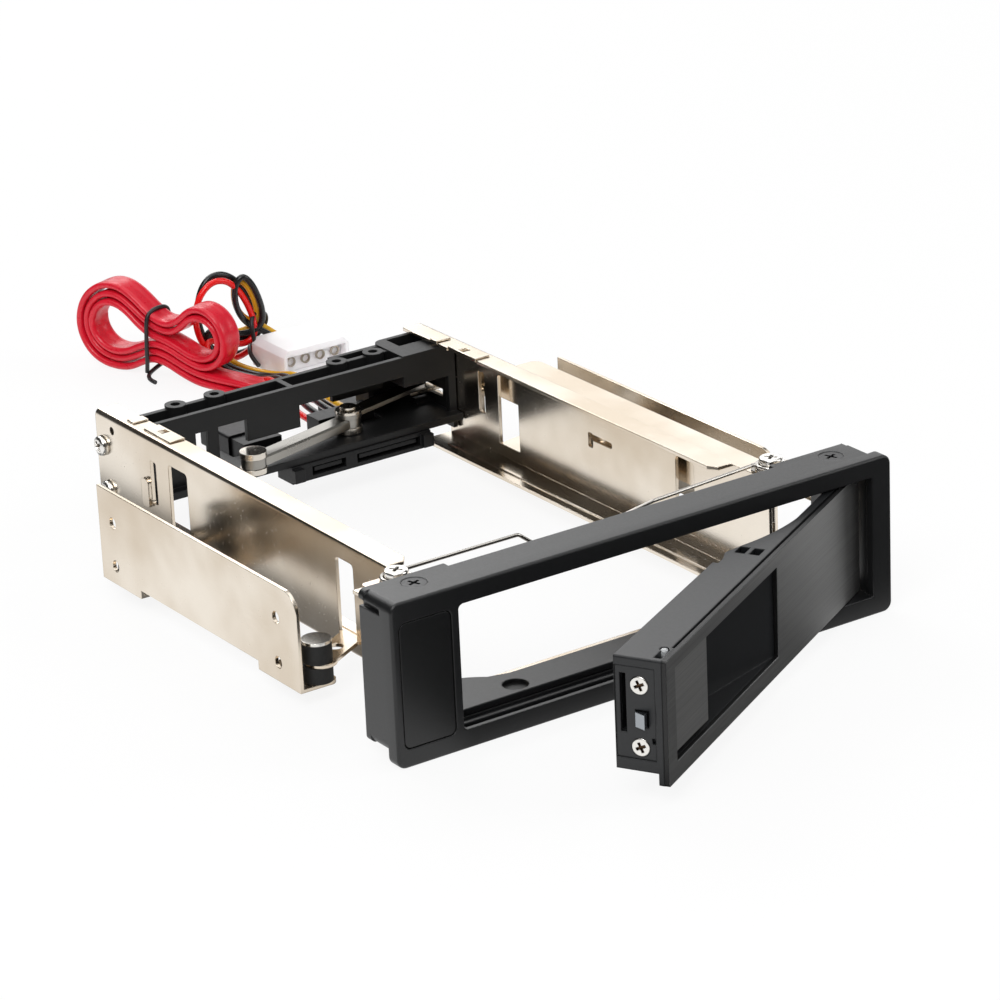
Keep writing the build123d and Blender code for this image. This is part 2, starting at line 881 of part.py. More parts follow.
# Outer brackets: the sheet sides that screw into the bay
for side in (-1, 1):
    with BuildPart() as bracket:
        plate_x = min(side * bracket_x, side * (bracket_x - sheet))
        with BuildSketch(Plane.YZ.offset(plate_x)) as plate:
            with BuildLine():
                Polyline(
                    (back(bracket_front), bracket_bottom),
                    (back(bracket_front + foot_long), bracket_bottom),
                    (back(bracket_front + foot_long), bracket_mid_bottom),
                    (back(bracket_rear - foot_long), bracket_mid_bottom),
                    (back(bracket_rear - foot_long), bracket_bottom),
                    (back(bracket_rear), bracket_bottom),
                    (back(bracket_rear), bracket_top),
                    (back(bracket_front), bracket_top),
                    close=True,
                )
            make_face()
            fillet(plate.vertices().sort_by_distance((back(bracket_front), bracket_top, 0))[:1], 5.5)
            with Locations(
                (
                    back(bay_hole_front + bay_hole_pitch_y / 2),
                    bay_hole_low + bay_hole_pitch_z / 2,
                )
            ):
                with GridLocations(bay_hole_pitch_y, bay_hole_pitch_z, 2, 2):
                    Circle(bay_hole_r, mode=Mode.SUBTRACT)
        extrude(amount=sheet)
        for d0, d1, near in (
            (bracket_front, bracket_front + foot_long, bracket_front),
            (bracket_rear - foot_long, bracket_rear, bracket_rear),
        ):
            with BuildSketch(Plane.XY.offset(bracket_bottom)) as foot:
                with Locations((side * (bracket_x + foot_inner) / 2, back((d0 + d1) / 2))):
                    Rectangle(bracket_x - foot_inner, d1 - d0)
                fillet(foot.vertices().sort_by_distance((side * foot_inner, back(near), 0))[:1], 2.5)
            extrude(amount=sheet)
        for depth in damper_depths:
            post(
                side * damper_x,
                depth,
                bracket_bottom - 1,
                bracket_bottom + 2,
                stud_r + pin_fit,
                Mode.SUBTRACT,
            )
    save(bracket, f"{side_name(side)}_outer_bracket")

# Dampers: two rubber rings each, under and over the rail's tab, on a capped stud
for side in (-1, 1):
    for place, depth in zip(("front", "rear"), damper_depths):
        with BuildPart() as damper:
            for z0, z1 in (
                (bracket_bottom + sheet, damper_tab_z),
                (damper_tab_z + sheet, damper_top),
            ):
                with BuildSketch(Plane.XY.offset(z0)):
                    with Locations((side * damper_x, back(depth))):
                        Circle(damper_r)
                        Circle(stud_r + 0.1, mode=Mode.SUBTRACT)
                extrude(amount=z1 - z0)
        save(damper, f"{side_name(side)}_{place}_damper")

with BuildPart() as damper_studs:
    for side in (-1, 1):
        for depth in damper_depths:
            post(side * damper_x, depth, bracket_bottom, damper_top, stud_r)
            post(side * damper_x, depth, damper_top, damper_top + damper_cap, damper_r)
save(damper_studs, "damper_studs")

# Rear holder: one moulding between the rails' rear ends
with BuildPart() as rear_holder:
    with BuildSketch(front.offset(-holder_front)) as holder_face:
        with Locations((0, (ledge_bottom + beam_top) / 2)):
            Rectangle(2 * holder_x, beam_top - ledge_bottom)
        with Locations((-30.1, 20.8)):
            Rectangle(3.8, 13.6, mode=Mode.SUBTRACT)
        with Locations((-20.5, 21.0)):
            Rectangle(9.0, 14.0, mode=Mode.SUBTRACT)
        with Locations((-11.5, 17.6)):
            Rectangle(25.0, 7.8, mode=Mode.SUBTRACT)
        with Locations((24.6, 20.8)):
            Rectangle(48.2, 13.8, mode=Mode.SUBTRACT)
    extrude(amount=-holder_wall)
    # Open channel along the top
    box(-holder_x, holder_block_start, holder_front, channel_rear, beam_bottom, beam_bottom + 1.6)
    box(
        -holder_x,
        holder_block_start,
        channel_rear - holder_wall,
        channel_rear,
        beam_bottom,
        beam_top,
    )
    for x in (-holder_x + 0.8, -1.1):
        box(x - 0.8, x + 0.8, holder_front, channel_rear, beam_bottom, beam_top)
    # Ledge under the lever, cut back for the headers
    box(-holder_x, holder_x, ledge_front, header_ledge_rear, ledge_bottom, ledge_top)
    box(-holder_x, -15.5, header_ledge_rear, ledge_rear, ledge_bottom, ledge_top)
    box(32.0, holder_x, header_ledge_rear, holder_rear, ledge_bottom, ledge_top)
    # Rear plate behind the lever
    box(18.7, holder_block_start + 1, 172.6, 174.0, lever_clear_top, beam_top)
    box(18.7, holder_block_start + 1, channel_rear, 174.0, beam_bottom, beam_bottom + 1.4)
    box(32.0, 33.6, lever_clear_rear, 182.0, ledge_bottom, beam_bottom)
    # Block on the right with its pocket
    with BuildSketch(Plane.XY.offset(block_bottom)) as block_plan:
        with Locations(
            ((holder_block_start + holder_x) / 2, back((holder_front + block_rear) / 2)),
        ):
            Rectangle(holder_x - holder_block_start, block_rear - holder_front)
        fillet(
            block_plan.vertices().sort_by_distance((holder_block_start, back(block_rear), block_bottom))[:1],
            3.0,
        )
    extrude(amount=block_top - block_bottom)
    box(38.3, 47.6, 168.0, 174.6, block_bottom + 1.6, block_top, Mode.SUBTRACT)
    box(32.0, holder_x, 172.6, holder_rear, block_bottom - 1.4, block_bottom + 0.2)
    box(32.0, holder_x, holder_rear - 1.4, holder_rear, ledge_bottom, block_bottom)
    # Cheeks against the rails
    box(holder_x - 1.2, holder_x, holder_front, holder_rear, ledge_bottom - 3.0, block_bottom + 1)
    box(-holder_x, -holder_x + 1.2, holder_front, ledge_rear, ledge_bottom - 3.0, beam_top)
    # Ring bosses on the channel's rear wall
    for x in boss_xs:
        post(x, boss_depth, beam_bottom, beam_top + 0.7, boss_r)
        post(x, boss_depth, beam_bottom + 1.0, beam_top + 0.7, boss_hole_r, Mode.SUBTRACT)
    # Bosses for the rails' screws
    for side in (-1, 1):
        side_post(side * holder_x, side * (holder_x - 6.4), *rail_screw_spots[0], 2.9)
        side_post(side * holder_x, side * (holder_x - 6.4), *rail_screw_spots[1], 2.3)
        for depth, z in rail_screw_spots:
            side_hole(side * (holder_x - 2.5), depth, z, rail_screw_r + pin_fit, 3.0)
    # Way in for the rod's arm
    box(
        holder_x - 2.0,
        holder_x,
        165.0,
        holder_rear - 1.4,
        rod_arm_z - 0.7,
        rod_arm_z + sheet + 0.7,
        Mode.SUBTRACT,
    )
    # Seat of the lever's pivot pin
    post(lever_x, lever_depth, ledge_bottom, ledge_top, lever_pin_r + pin_fit, Mode.SUBTRACT)
    # Standoffs of the backplane board
    for x in (-20.0, 42.0):
        post(x, 167.0, board_top, ledge_bottom, 2.4)
        post(x, 167.0, board_top, ledge_top - 0.5, 1.0, Mode.SUBTRACT)
save(rear_holder, "rear_holder")

for side in (-1, 1):
    with BuildPart() as rail_screws:
        for depth, z in rail_screw_spots:
            side_post(side * rail_x, side * (rail_x + 1.9), depth, z, rail_screw_head_r)
            side_post(side * (rail_x - 6.0), side * rail_x, depth, z, rail_screw_r)
    save(rail_screws, f"{side_name(side)}_rail_screws")

# Corner screws with their nuts, and the wire springs wound round them
spring_low = rail_top
spring_wire = 1.0
spring_mean_r = 3.6
spring_turns = 2
screw_head_low = spring_low + spring_turns * (spring_wire + 0.05)
with BuildPart() as corner_screws:
    for side in (-1, 1):
        post(side * corner_screw_x, corner_screw_depth, 31.0, spring_low, 1.5)
        post(side * corner_screw_x, corner_screw_depth, spring_low, screw_head_low + 1.5, 3.0)
    fillet(corner_screws.faces().sort_by(Axis.Z)[-2:].edges(), 0.7)
save(corner_screws, "corner_screws")

with BuildPart() as corner_nuts:
    for side in (-1, 1):
        with BuildSketch(Plane.XY.offset(rail_top - 4 * sheet)):
            with Locations((side * corner_screw_x, back(corner_screw_depth))):
                RegularPolygon(2.9, 6)
                Circle(1.5 + pin_fit, mode=Mode.SUBTRACT)
        extrude(amount=2 * sheet)
save(corner_nuts, "corner_nuts")

# The springs' arms run inwards and then bend down behind the bezel
spring_arms = {
    -1: ((-52.8, 27.4, 36.7), (-20.4, 26.0, 37.4), (-16.6, 25.6, 34.4)),
    1: ((52.8, 27.4, 36.4), (20.0, 26.0, 35.6), (8.0, 25.6, 34.0)),
}
for side in (-1, 1):
    with BuildPart() as wire_spring:
        for turn in range(spring_turns):
            z = spring_low + spring_wire / 2 + turn * (spring_wire + 0.05)
            with BuildSketch(Plane.XZ.offset(-back(corner_screw_depth))):
                with Locations((side * corner_screw_x + spring_mean_r, z)):
                    Circle(spring_wire / 2)
            revolve(
                axis=Axis((side * corner_screw_x, back(corner_screw_depth), 0), (0, 0, 1)),
                revolution_arc=360,
            )
        with BuildLine() as arm_line:
            start, bend, end = [(x, back(d), z) for x, d, z in spring_arms[side]]
            FilletPolyline(start, bend, end, radius=2.0)
        with BuildSketch(Plane(origin=start, z_dir=arm_line.line % 0)):
            Circle(spring_wire / 2)
        sweep(path=arm_line.line)
        with BuildSketch(Plane.XY.offset(spring_low + 0.05)):
            with Locations((side * (corner_screw_x - spring_mean_r), back(corner_screw_depth + 1.9))):
                Rectangle(1.4, 1.6)
        extrude(amount=2.0)
    save(wire_spring, f"{side_name(side)}_wire_spring")

# Ejector lever: two bars riveted at the hub, a roller at the left and a slot at the right
lever_origin = (lever_x, back(lever_depth), 0)
slope = math.radians(lever_slope)
lever_plane = Plane(origin=lever_origin, x_dir=(math.cos(slope), math.sin(slope), 0), z_dir=(0, 0, 1))
left_bar_top = lever_low + left_bar_tall
right_bar_top = left_bar_top + right_bar_thick
with BuildPart() as lever_left_bar:
    with BuildSketch(lever_plane.offset(lever_low)):
        with Locations((-lever_left / 2, 0)):
            Rectangle(lever_left, lever_wide - 0.8)
        with Locations((0, 0), (-lever_left, 0)):
            Circle(lever_disc_r - 0.25)
        with Locations((0, 0)):
            Circle(lever_pin_r + 0.8 + pin_fit, mode=Mode.SUBTRACT)
        with Locations((-lever_left, 0)):
            Circle(stud_r + pin_fit, mode=Mode.SUBTRACT)
    extrude(amount=left_bar_tall)
    # The bar is a shallow channel, open below
    with BuildSketch(lever_plane.offset(lever_low)):
        with Locations((-lever_left / 2, 0)):
            Rectangle(lever_left - 2 * lever_disc_r - 0.6, lever_wide - 2.8)
    extrude(amount=left_bar_tall - 1.0, mode=Mode.SUBTRACT)
    chamfer(
        lever_left_bar.faces().sort_by(Axis.Z)[-1].edges().filter_by(GeomType.LINE),
        0.5,
    )
save(lever_left_bar, "lever_left_bar")

slot_mid = lever_right + 0.8
with BuildPart() as lever_right_bar:
    with BuildSketch(lever_plane.offset(left_bar_top)):
        with Locations(((lever_right + 1.9) / 2, 0)):
            Rectangle(lever_right + 1.9, 5.0)
        Circle(lever_disc_r)
        with Locations((lever_right + 1.9, 0)):
            Circle(2.5)
        Circle(lever_pin_r + 0.8 + pin_fit, mode=Mode.SUBTRACT)
        with Locations((slot_mid, 0)):
            SlotCenterToCenter(2.6, 2 * (rod_pin_r + 0.35), mode=Mode.SUBTRACT)
    extrude(amount=right_bar_thick)
save(lever_right_bar, "lever_right_bar")

with BuildPart() as lever_hub:
    with BuildSketch(lever_plane.offset(ledge_top + slide_gap)):
        Circle(lever_disc_r + 0.1)
        Circle(lever_pin_r + turn_fit, mode=Mode.SUBTRACT)
    extrude(amount=lever_low - ledge_top - slide_gap)
    with BuildSketch(lever_plane.offset(lever_low)):
        Circle(lever_pin_r + 0.8)
        Circle(lever_pin_r + turn_fit, mode=Mode.SUBTRACT)
    extrude(amount=right_bar_top - lever_low)
    with BuildSketch(lever_plane.offset(right_bar_top)):
        Circle(lever_disc_r)
        Circle(lever_pin_r + turn_fit, mode=Mode.SUBTRACT)
    extrude(amount=0.8)
save(lever_hub, "lever_hub")

with BuildPart() as lever_roller:
    with BuildSketch(lever_plane.offset(lever_low - 1.6)):
        with Locations((-lever_left, 0)):
            Circle(lever_disc_r)
    extrude(amount=1.5)
    with BuildSketch(lever_plane.offset(lever_low - 0.2)):
        with Locations((-lever_left, 0)):
            Circle(stud_r)
    extrude(amount=left_bar_tall + 0.4)
    with BuildSketch(lever_plane.offset(left_bar_top + 0.1)):
        with Locations((-lever_left, 0)):
            Circle(lever_disc_r)
    extrude(amount=1.7)
save(lever_roller, "lever_roller")

with BuildPart() as lever_pivot_pin:
    post(lever_x, lever_depth, ledge_bottom, right_bar_top + 1.1, lever_pin_r)
    post(lever_x, lever_depth, right_bar_top + 1.1, right_bar_top + 1.8, 2.3)
save(lever_pivot_pin, "lever_pivot_pin")

# Push rod: an L-shaped strip outside the right rail
rod_pin_x = lever_x + lever_right * math.cos(slope)
rod_pin_depth = lever_depth + lever_right * math.sin(slope)
crank_swing = math.hypot(crank_along, hinge_depth - crank_deep)
crank_angle = math.radians(rest_open) - math.atan2(hinge_depth - crank_deep, crank_along)
rod_nose_y = back(hinge_depth + crank_swing * math.sin(crank_angle)) + crank_pin_r + rod_gap
guide_depths = (72.0, 120.0)
guide_z = rod_top - rod_web_tall / 2 - 0.6
with BuildPart() as push_rod:
    with BuildSketch(Plane.YZ.offset(rod_left)) as web:
        with BuildLine():
            Polyline(
                (back(rod_flange_front), rod_top),
                (back(rod_flange_front), rod_top - rod_web_tall),
                (back(148.0), rod_top - rod_web_tall),
                (back(154.0), rod_arm_z),
                (back(rod_rear), rod_arm_z),
                (back(rod_rear), rod_arm_z + 4.0),
                (back(160.0), rod_arm_z + 4.0),
                (back(154.0), rod_top),
                close=True,
            )
        make_face()
        for depth in guide_depths:
            with Locations((back(depth + 1.0), guide_z)):
                SlotCenterToCenter(9.6, 3.5, mode=Mode.SUBTRACT)
    extrude(amount=sheet)
    with BuildSketch(Plane.XY.offset(rod_top - sheet)) as top_plate:
        with Locations(
            ((rod_left + rod_right) / 2, back((rod_flange_front + rod_flange_rear) / 2)),
        ):
            Rectangle(rod_right - rod_left, rod_flange_rear - rod_flange_front)
        fillet(
            top_plate.vertices().sort_by_distance((rod_right, back(rod_flange_rear), 0))[:1],
            3.0,
        )
        with Locations(
            ((rod_nose_left + rod_right) / 2, back((rod_shoulder + rod_flange_front + 2) / 2)),
        ):
            Rectangle(rod_right - rod_nose_left, rod_flange_front + 2 - rod_shoulder)
        with Locations(
            ((rod_nose_left + rod_nose_right) / 2, (rod_nose_y + back(rod_shoulder + 1)) / 2),
        ):
            Rectangle(rod_nose_right - rod_nose_left, back(rod_shoulder + 1) - rod_nose_y)
    extrude(amount=sheet)
    # Arm that reaches in to the lever, with its pin
    box(
        rod_pin_x - 2.2,
        rod_left + sheet,
        rod_pin_depth - 2.2,
        rod_pin_depth + 2.2,
        rod_arm_z,
        rod_arm_z + sheet,
    )
    post(rod_pin_x, rod_pin_depth, rod_arm_z, right_bar_top, rod_pin_r)
save(push_rod, "push_rod")

with BuildPart() as rod_guides:
    for depth in guide_depths:
        side_post(rail_x, rod_left + sheet + slide_gap, depth, guide_z, 1.5)
        side_post(
            rod_left + sheet + slide_gap,
            rod_left + 2 * sheet + slide_gap,
            depth,
            guide_z,
            2.9,
        )
        side_post(rail_x, rod_left - slide_gap, depth, guide_z, 2.6)
save(rod_guides, "rod_guides")

# Backplane board with its connectors
with BuildPart() as backplane_board:
    box(-24.0, 46.0, 164.0, 177.5, board_top - board_thick, board_top)
save(backplane_board, "backplane_board")

with BuildPart() as drive_connector:
    box(
        receptacle_left,
        receptacle_right,
        receptacle_front,
        164.0,
        receptacle_bottom,
        ledge_bottom,
    )
    # Blade slots for data and power, with a key between them
    for x0, x1 in ((1.2, 12.0), (15.6, 36.2)):
        box(
            x0,
            x1,
            receptacle_front,
            receptacle_front + 6.0,
            receptacle_bottom + 1.1,
            ledge_bottom - 1.1,
            Mode.SUBTRACT,
        )
    # Blades that carry the contacts
    for x0, x1 in ((2.2, 11.0), (16.6, 35.2)):
        box(x0, x1, receptacle_front + 0.6, 163.0, 9.2, 10.4)
    # Guide ends
    for x in (receptacle_left + 1.6, receptacle_right - 1.6):
        box(x - 1.6, x + 1.6, receptacle_front - 1.6, receptacle_front, 7.8, 11.4)
save(drive_connector, "drive_connector")

with BuildPart() as data_header:
    box(-11.5, 0.5, 170.4, 177.5, board_top, board_top + 5.6)
    box(-10.1, -0.9, 172.6, 177.5, board_top + 1.4, board_top + 4.4, Mode.SUBTRACT)
    box(-9.3, -2.2, 171.0, 177.0, board_top + 2.3, board_top + 3.4)
save(data_header, "data_header")

with BuildPart() as power_header:
    box(13.0, 31.0, 171.2, 177.5, board_top, board_top + 6.4)
    for x in (15.7, 19.9, 24.1, 28.3):
        box(x - 1.6, x + 1.6, 173.0, 177.5, board_top + 1.4, board_top + 5.0, Mode.SUBTRACT)
save(power_header, "power_header")

# Plugs at the two ends of the data cable
plug_front = 177.5
with BuildPart() as data_plug:
    box(-12.2, 1.2, plug_front, 192.5, board_top - 0.6, board_top + 6.2)
    fillet(data_plug.edges().filter_by(Axis.Y), 0.8)
    box(-9.9, -1.1, 173.0, plug_front, board_top + 1.6, board_top + 4.2)
    box(-9.5, -2.0, 172.0, 177.2, board_top + 2.1, board_top + 3.6, Mode.SUBTRACT)
save(data_plug, "data_plug")

far_plug_rear = 209.0
with BuildPart() as data_cable_end_plug:
    box(35.8, 49.2, 191.0, far_plug_rear, 0.6, 7.4)
    fillet(data_cable_end_plug.edges().filter_by(Axis.Y), 0.8)
    box(37.6, 47.4, 187.0, 191.0, 2.0, 6.2)
    box(38.6, 46.4, 186.0, 198.0, 3.2, 5.0, Mode.SUBTRACT)
save(data_cable_end_plug, "data_cable_end_plug")

# Data cable, a flat ribbon: a folded hank with a tie round its waist, and two plain tails
hank_yaw = math.radians(110.0)
hank_along = (math.cos(hank_yaw), math.sin(hank_yaw), 0)
hank_across = (math.sin(hank_yaw), -math.cos(hank_yaw), 0)
hank_origin = (19.1, back(269.9), 0)
hank_plane = Plane(origin=hank_origin, x_dir=hank_along, z_dir=hank_across)
tie_place = 3.0
with BuildPart() as data_cable_hank:
    with BuildSketch(hank_plane):
        with Locations((17.0, 13.2)):
            Ellipse(13.6, 12.9)
        with Locations((-14.4, 14.2)):
            Ellipse(10.3, 9.8)
        with Locations((0.2, 11.6)):
            Rectangle(17.0, 12.8)
        with Locations((16.4, 13.4)):
            Ellipse(7.6, 6.9, mode=Mode.SUBTRACT)
        with Locations((-14.0, 14.6)):
            Ellipse(5.0, 4.8, mode=Mode.SUBTRACT)
        with BuildLine():
            Polyline((0.0, 6.0), (-22.0, 0.4), (-22.0, 5.6), (0.0, 11.0), close=True)
        make_face()
    extrude(amount=ribbon_wide)
save(data_cable_hank, "data_cable_hank")

with BuildPart() as data_cable_tie:
    tie_origin = (
        hank_origin[0] + tie_place * hank_along[0],
        hank_origin[1] + tie_place * hank_along[1],
        0,
    )
    with BuildSketch(Plane(origin=tie_origin, x_dir=hank_across, z_dir=-Vector(*hank_along))):
        with Locations((ribbon_wide / 2, 11.6)):
            RectangleRounded(ribbon_wide + 2.6, 15.4, 2.2)
            Rectangle(ribbon_wide + 0.2, 13.0, mode=Mode.SUBTRACT)
    extrude(amount=-1.2)
save(data_cable_tie, "data_cable_tie")


def lead(name, points, diameter):
    """A tube along a cable's route, with an arc at each corner as large as its runs allow."""
    route = [Vector(x, back(d), z) for x, d, z in points]
    radii = []
    for before, corner, after in zip(route, route[1:], route[2:]):
        half_turn = math.radians((corner - before).get_angle(after - corner) / 2)
        run = min((corner - before).length, (after - corner).length)
        radii.append(0.45 * run / math.tan(half_turn))
    with BuildPart() as tube:
        with BuildLine() as path:
            line = FilletPolyline(*route, radius=radii)
        with BuildSketch(Plane(origin=path.line @ 0, z_dir=path.line % 0)):
            Circle(diameter / 2)
        sweep(path=path.line)
    expected = math.pi * diameter**2 / 4 * line.length
    print(name, "radii", [round(r, 1) for r in radii], "length", round(line.length, 1))
    print(name, "volume over section times length", round(tube.part.volume / expected, 3))
    save(tube, name)


lead(
    "data_cable_near_tail",
    [
        (28.51, 249.88, 3.0),
        (31.68, 241.17, 3.0),
        (32.2, 231.8, 2.8),
        (27.8, 223.6, 2.8),
        (19.9, 218.6, 3.2),
        (11.0, 215.8, 4.4),
        (3.2, 212.2, 6.8),
        (-2.6, 207.2, 10.2),
        (-5.5, 200.4, 13.2),
        (-5.5, 192.51, 13.2),
    ],
    4.0,
)
lead(
    "data_cable_far_tail",
    [
        (32.46, 251.32, 2.6),
        (35.47, 243.05, 2.6),
        (38.3, 234.6, 2.6),
        (40.9, 226.2, 2.8),
        (42.5, 217.7, 4.0),
        (42.5, 209.01, 4.0),
    ],
    4.0,
)

# Power lead: four wires from the header to a tied loop, and its plug on the floor
wire_d = 1.9
plug_left = 47.0
plug_right = 69.4
plug_mouth = 245.0
plug_rear = 263.0
plug_low = 0.1
plug_high = 8.5
pin_pitch = 5.08
pin_z = (plug_low + plug_high) / 2
with BuildPart() as power_plug:
    box(plug_left, plug_right, plug_mouth, plug_rear, plug_low, plug_high)
    chamfer(power_plug.edges().filter_by(Axis.Y).group_by(Axis.Z)[-1], 1.8)
    cavity_mid = (plug_left + plug_right) / 2
    box(
        plug_left + 1.2,
        plug_right - 1.2,
        plug_mouth,
        plug_rear - 5.0,
        plug_low + 1.2,
        plug_high - 1.9,
        Mode.SUBTRACT,
    )
save(power_plug, "power_plug")

with BuildPart() as power_plug_pins:
    for place in (-1.5, -0.5, 0.5, 1.5):
        with Locations((cavity_mid + place * pin_pitch, back(plug_rear - 5.0 - 5.5), pin_z)):
            Cylinder(1.5, 11.0, rotation=(90, 0, 0))
            Cylinder(1.1, 11.0, rotation=(90, 0, 0), mode=Mode.SUBTRACT)
save(power_plug_pins, "power_plug_pins")

wire_names = ("power_wire_red", "power_wire_black_1", "power_wire_black_2", "power_wire_yellow")
wire_routes = (
    [
        (15.7, 173.0, 13.8),
        (15.7, 183.0, 13.8),
        (18.4, 193.5, 12.8),
        (23.4, 204.0, 10.6),
        (28.6, 214.5, 8.6),
        (32.8, 225.0, 7.6),
        (35.6, 235.5, 7.2),
        (37.1, 245.5, 7.0),
        (37.6, 254.5, 6.2),
        (37.6, 262.99, 6.2),
    ],
    [
        (19.9, 173.0, 13.8),
        (19.9, 183.0, 13.8),
        (22.3, 193.5, 12.9),
        (26.9, 204.0, 10.8),
        (31.8, 214.5, 8.8),
        (35.7, 225.0, 7.8),
        (38.2, 235.5, 7.3),
        (39.5, 245.5, 7.0),
        (39.9, 254.5, 6.2),
        (39.9, 262.99, 6.2),
    ],
    [
        (24.1, 173.0, 13.8),
        (24.1, 183.0, 13.8),
        (26.2, 193.5, 13.0),
        (30.4, 204.0, 11.0),
        (35.0, 214.5, 9.0),
        (38.6, 225.0, 8.0),
        (40.8, 235.5, 7.4),
        (41.9, 245.5, 7.0),
        (42.2, 254.5, 6.2),
        (42.2, 262.99, 6.2),
    ],
    [
        (28.3, 173.0, 13.8),
        (28.3, 183.0, 13.8),
        (30.1, 193.5, 13.1),
        (33.9, 204.0, 11.2),
        (38.2, 214.5, 9.2),
        (41.5, 225.0, 8.2),
        (43.4, 235.5, 7.5),
        (44.3, 245.5, 7.0),
        (44.5, 254.5, 6.2),
        (44.5, 262.99, 6.2),
    ],
)
for wire_name, wire_route in zip(wire_names, wire_routes):
    lead(wire_name, wire_route, wire_d)

with BuildPart() as power_lead_hank:
    with BuildSketch(front.offset(-plug_rear)):
        with BuildLine():
            Polyline((36.0, 1.2), (56.6, 1.2), (57.4, 12.0), (52.0, 24.0))
            ThreePointArc((52.0, 24.0), (47.5, 28.6), (39.5, 29.2))
            ThreePointArc((39.5, 29.2), (31.8, 22.5), (31.6, 12.0))
            Line((31.6, 12.0), (36.0, 1.2))
        make_face()
        with Locations((42.0, 15.4)):
            Ellipse(6.2, 8.2, rotation=24, mode=Mode.SUBTRACT)
    extrude(amount=-7.0)
save(power_lead_hank, "power_lead_hank")
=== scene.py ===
"""Hot swap drive cage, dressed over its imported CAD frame, with its cables, finishes, light and camera."""

import json
import math

import bmesh
import bpy
from mathutils import Matrix, Vector


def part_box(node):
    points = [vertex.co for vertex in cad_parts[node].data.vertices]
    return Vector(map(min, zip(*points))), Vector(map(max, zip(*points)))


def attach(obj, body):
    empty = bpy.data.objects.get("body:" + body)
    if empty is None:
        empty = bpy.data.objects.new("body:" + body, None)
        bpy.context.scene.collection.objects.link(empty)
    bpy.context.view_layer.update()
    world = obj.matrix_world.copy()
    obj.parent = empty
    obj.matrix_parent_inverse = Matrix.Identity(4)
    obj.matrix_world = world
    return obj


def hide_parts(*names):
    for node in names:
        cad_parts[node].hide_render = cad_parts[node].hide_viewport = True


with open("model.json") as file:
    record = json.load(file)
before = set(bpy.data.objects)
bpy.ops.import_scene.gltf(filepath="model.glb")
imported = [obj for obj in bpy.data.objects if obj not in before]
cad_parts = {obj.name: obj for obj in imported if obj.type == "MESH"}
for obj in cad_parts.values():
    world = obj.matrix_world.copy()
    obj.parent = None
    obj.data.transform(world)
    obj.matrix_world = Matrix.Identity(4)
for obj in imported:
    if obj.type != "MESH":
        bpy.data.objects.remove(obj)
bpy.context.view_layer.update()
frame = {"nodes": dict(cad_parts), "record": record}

# Camera: a long lens at the front left, looking a little down with a slight roll. Places are
# given as on the part's drawing: across, back from the bezel's front face, and up, in millimetres.
mm = 0.001
bezel_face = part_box("bezel_frame")[0].y


def at(x, depth, z):
    """A place on the drawing, in the frame's metres."""
    return Vector((x * mm, bezel_face + depth * mm, z * mm))


camera_azimuth = math.radians(-33.612)
camera_elevation = math.radians(21.657)
camera_roll = math.radians(-2.613)
camera_lens = 153.52
camera_spot = at(-551.52, -765.80, 425.18)
camera_back = Vector((
    math.sin(camera_azimuth) * math.cos(camera_elevation),
    -math.cos(camera_azimuth) * math.cos(camera_elevation),
    math.sin(camera_elevation),
))
camera_level = (-camera_back).cross(Vector((0, 0, 1))).normalized()
camera_upright = camera_level.cross(-camera_back)
camera_right = camera_level * math.cos(camera_roll) + camera_upright * math.sin(camera_roll)
camera_up = camera_upright * math.cos(camera_roll) - camera_level * math.sin(camera_roll)
camera = bpy.data.objects.new("camera", bpy.data.cameras.new("camera"))
bpy.context.scene.collection.objects.link(camera)
camera.data.sensor_width = 36
camera.data.lens = camera_lens
camera.data.clip_start = 0.05
camera.data.clip_end = 20
camera_axes = Matrix((camera_right, camera_up, camera_back)).transposed().to_4x4()
camera.matrix_world = Matrix.Translation(camera_spot) @ camera_axes
bpy.context.scene.camera = camera


# Data cable: a flat red PVC ribbon, 8 mm wide and 2 mm thick, with two round cores in it. It leaves
# the plug behind the holder, is folded into a hank with three layers on its left loop and two on
# its right one, and comes back to a second plug.
ribbon_wide = 8.0
ribbon_thick = 2.0
hank_yaw = math.radians(110.0)
hank_along = Vector((math.cos(hank_yaw), math.sin(hank_yaw), 0))
hank_across = Vector((math.sin(hank_yaw), -math.cos(hank_yaw), 0))
hank_foot = Vector((19.1, 269.9, 0))


def hank_place(along, across, z):
    """A place in the hank's own upright plane, given on the drawing."""
    place = hank_foot + hank_along * along + hank_across * across
    return (place.x, place.y, z)


data_near_end = [
    (-5.5, 192.5, 13.2), (-5.5, 198.5, 13.0), (-3.6, 205.2, 10.6), (1.6, 210.6, 7.2),
    (9.6, 214.6, 4.0), (18.4, 218.2, 2.2), (26.0, 224.2, 1.5), (30.2, 232.6, 1.2),
    (31.4, 241.6, 1.15),
]
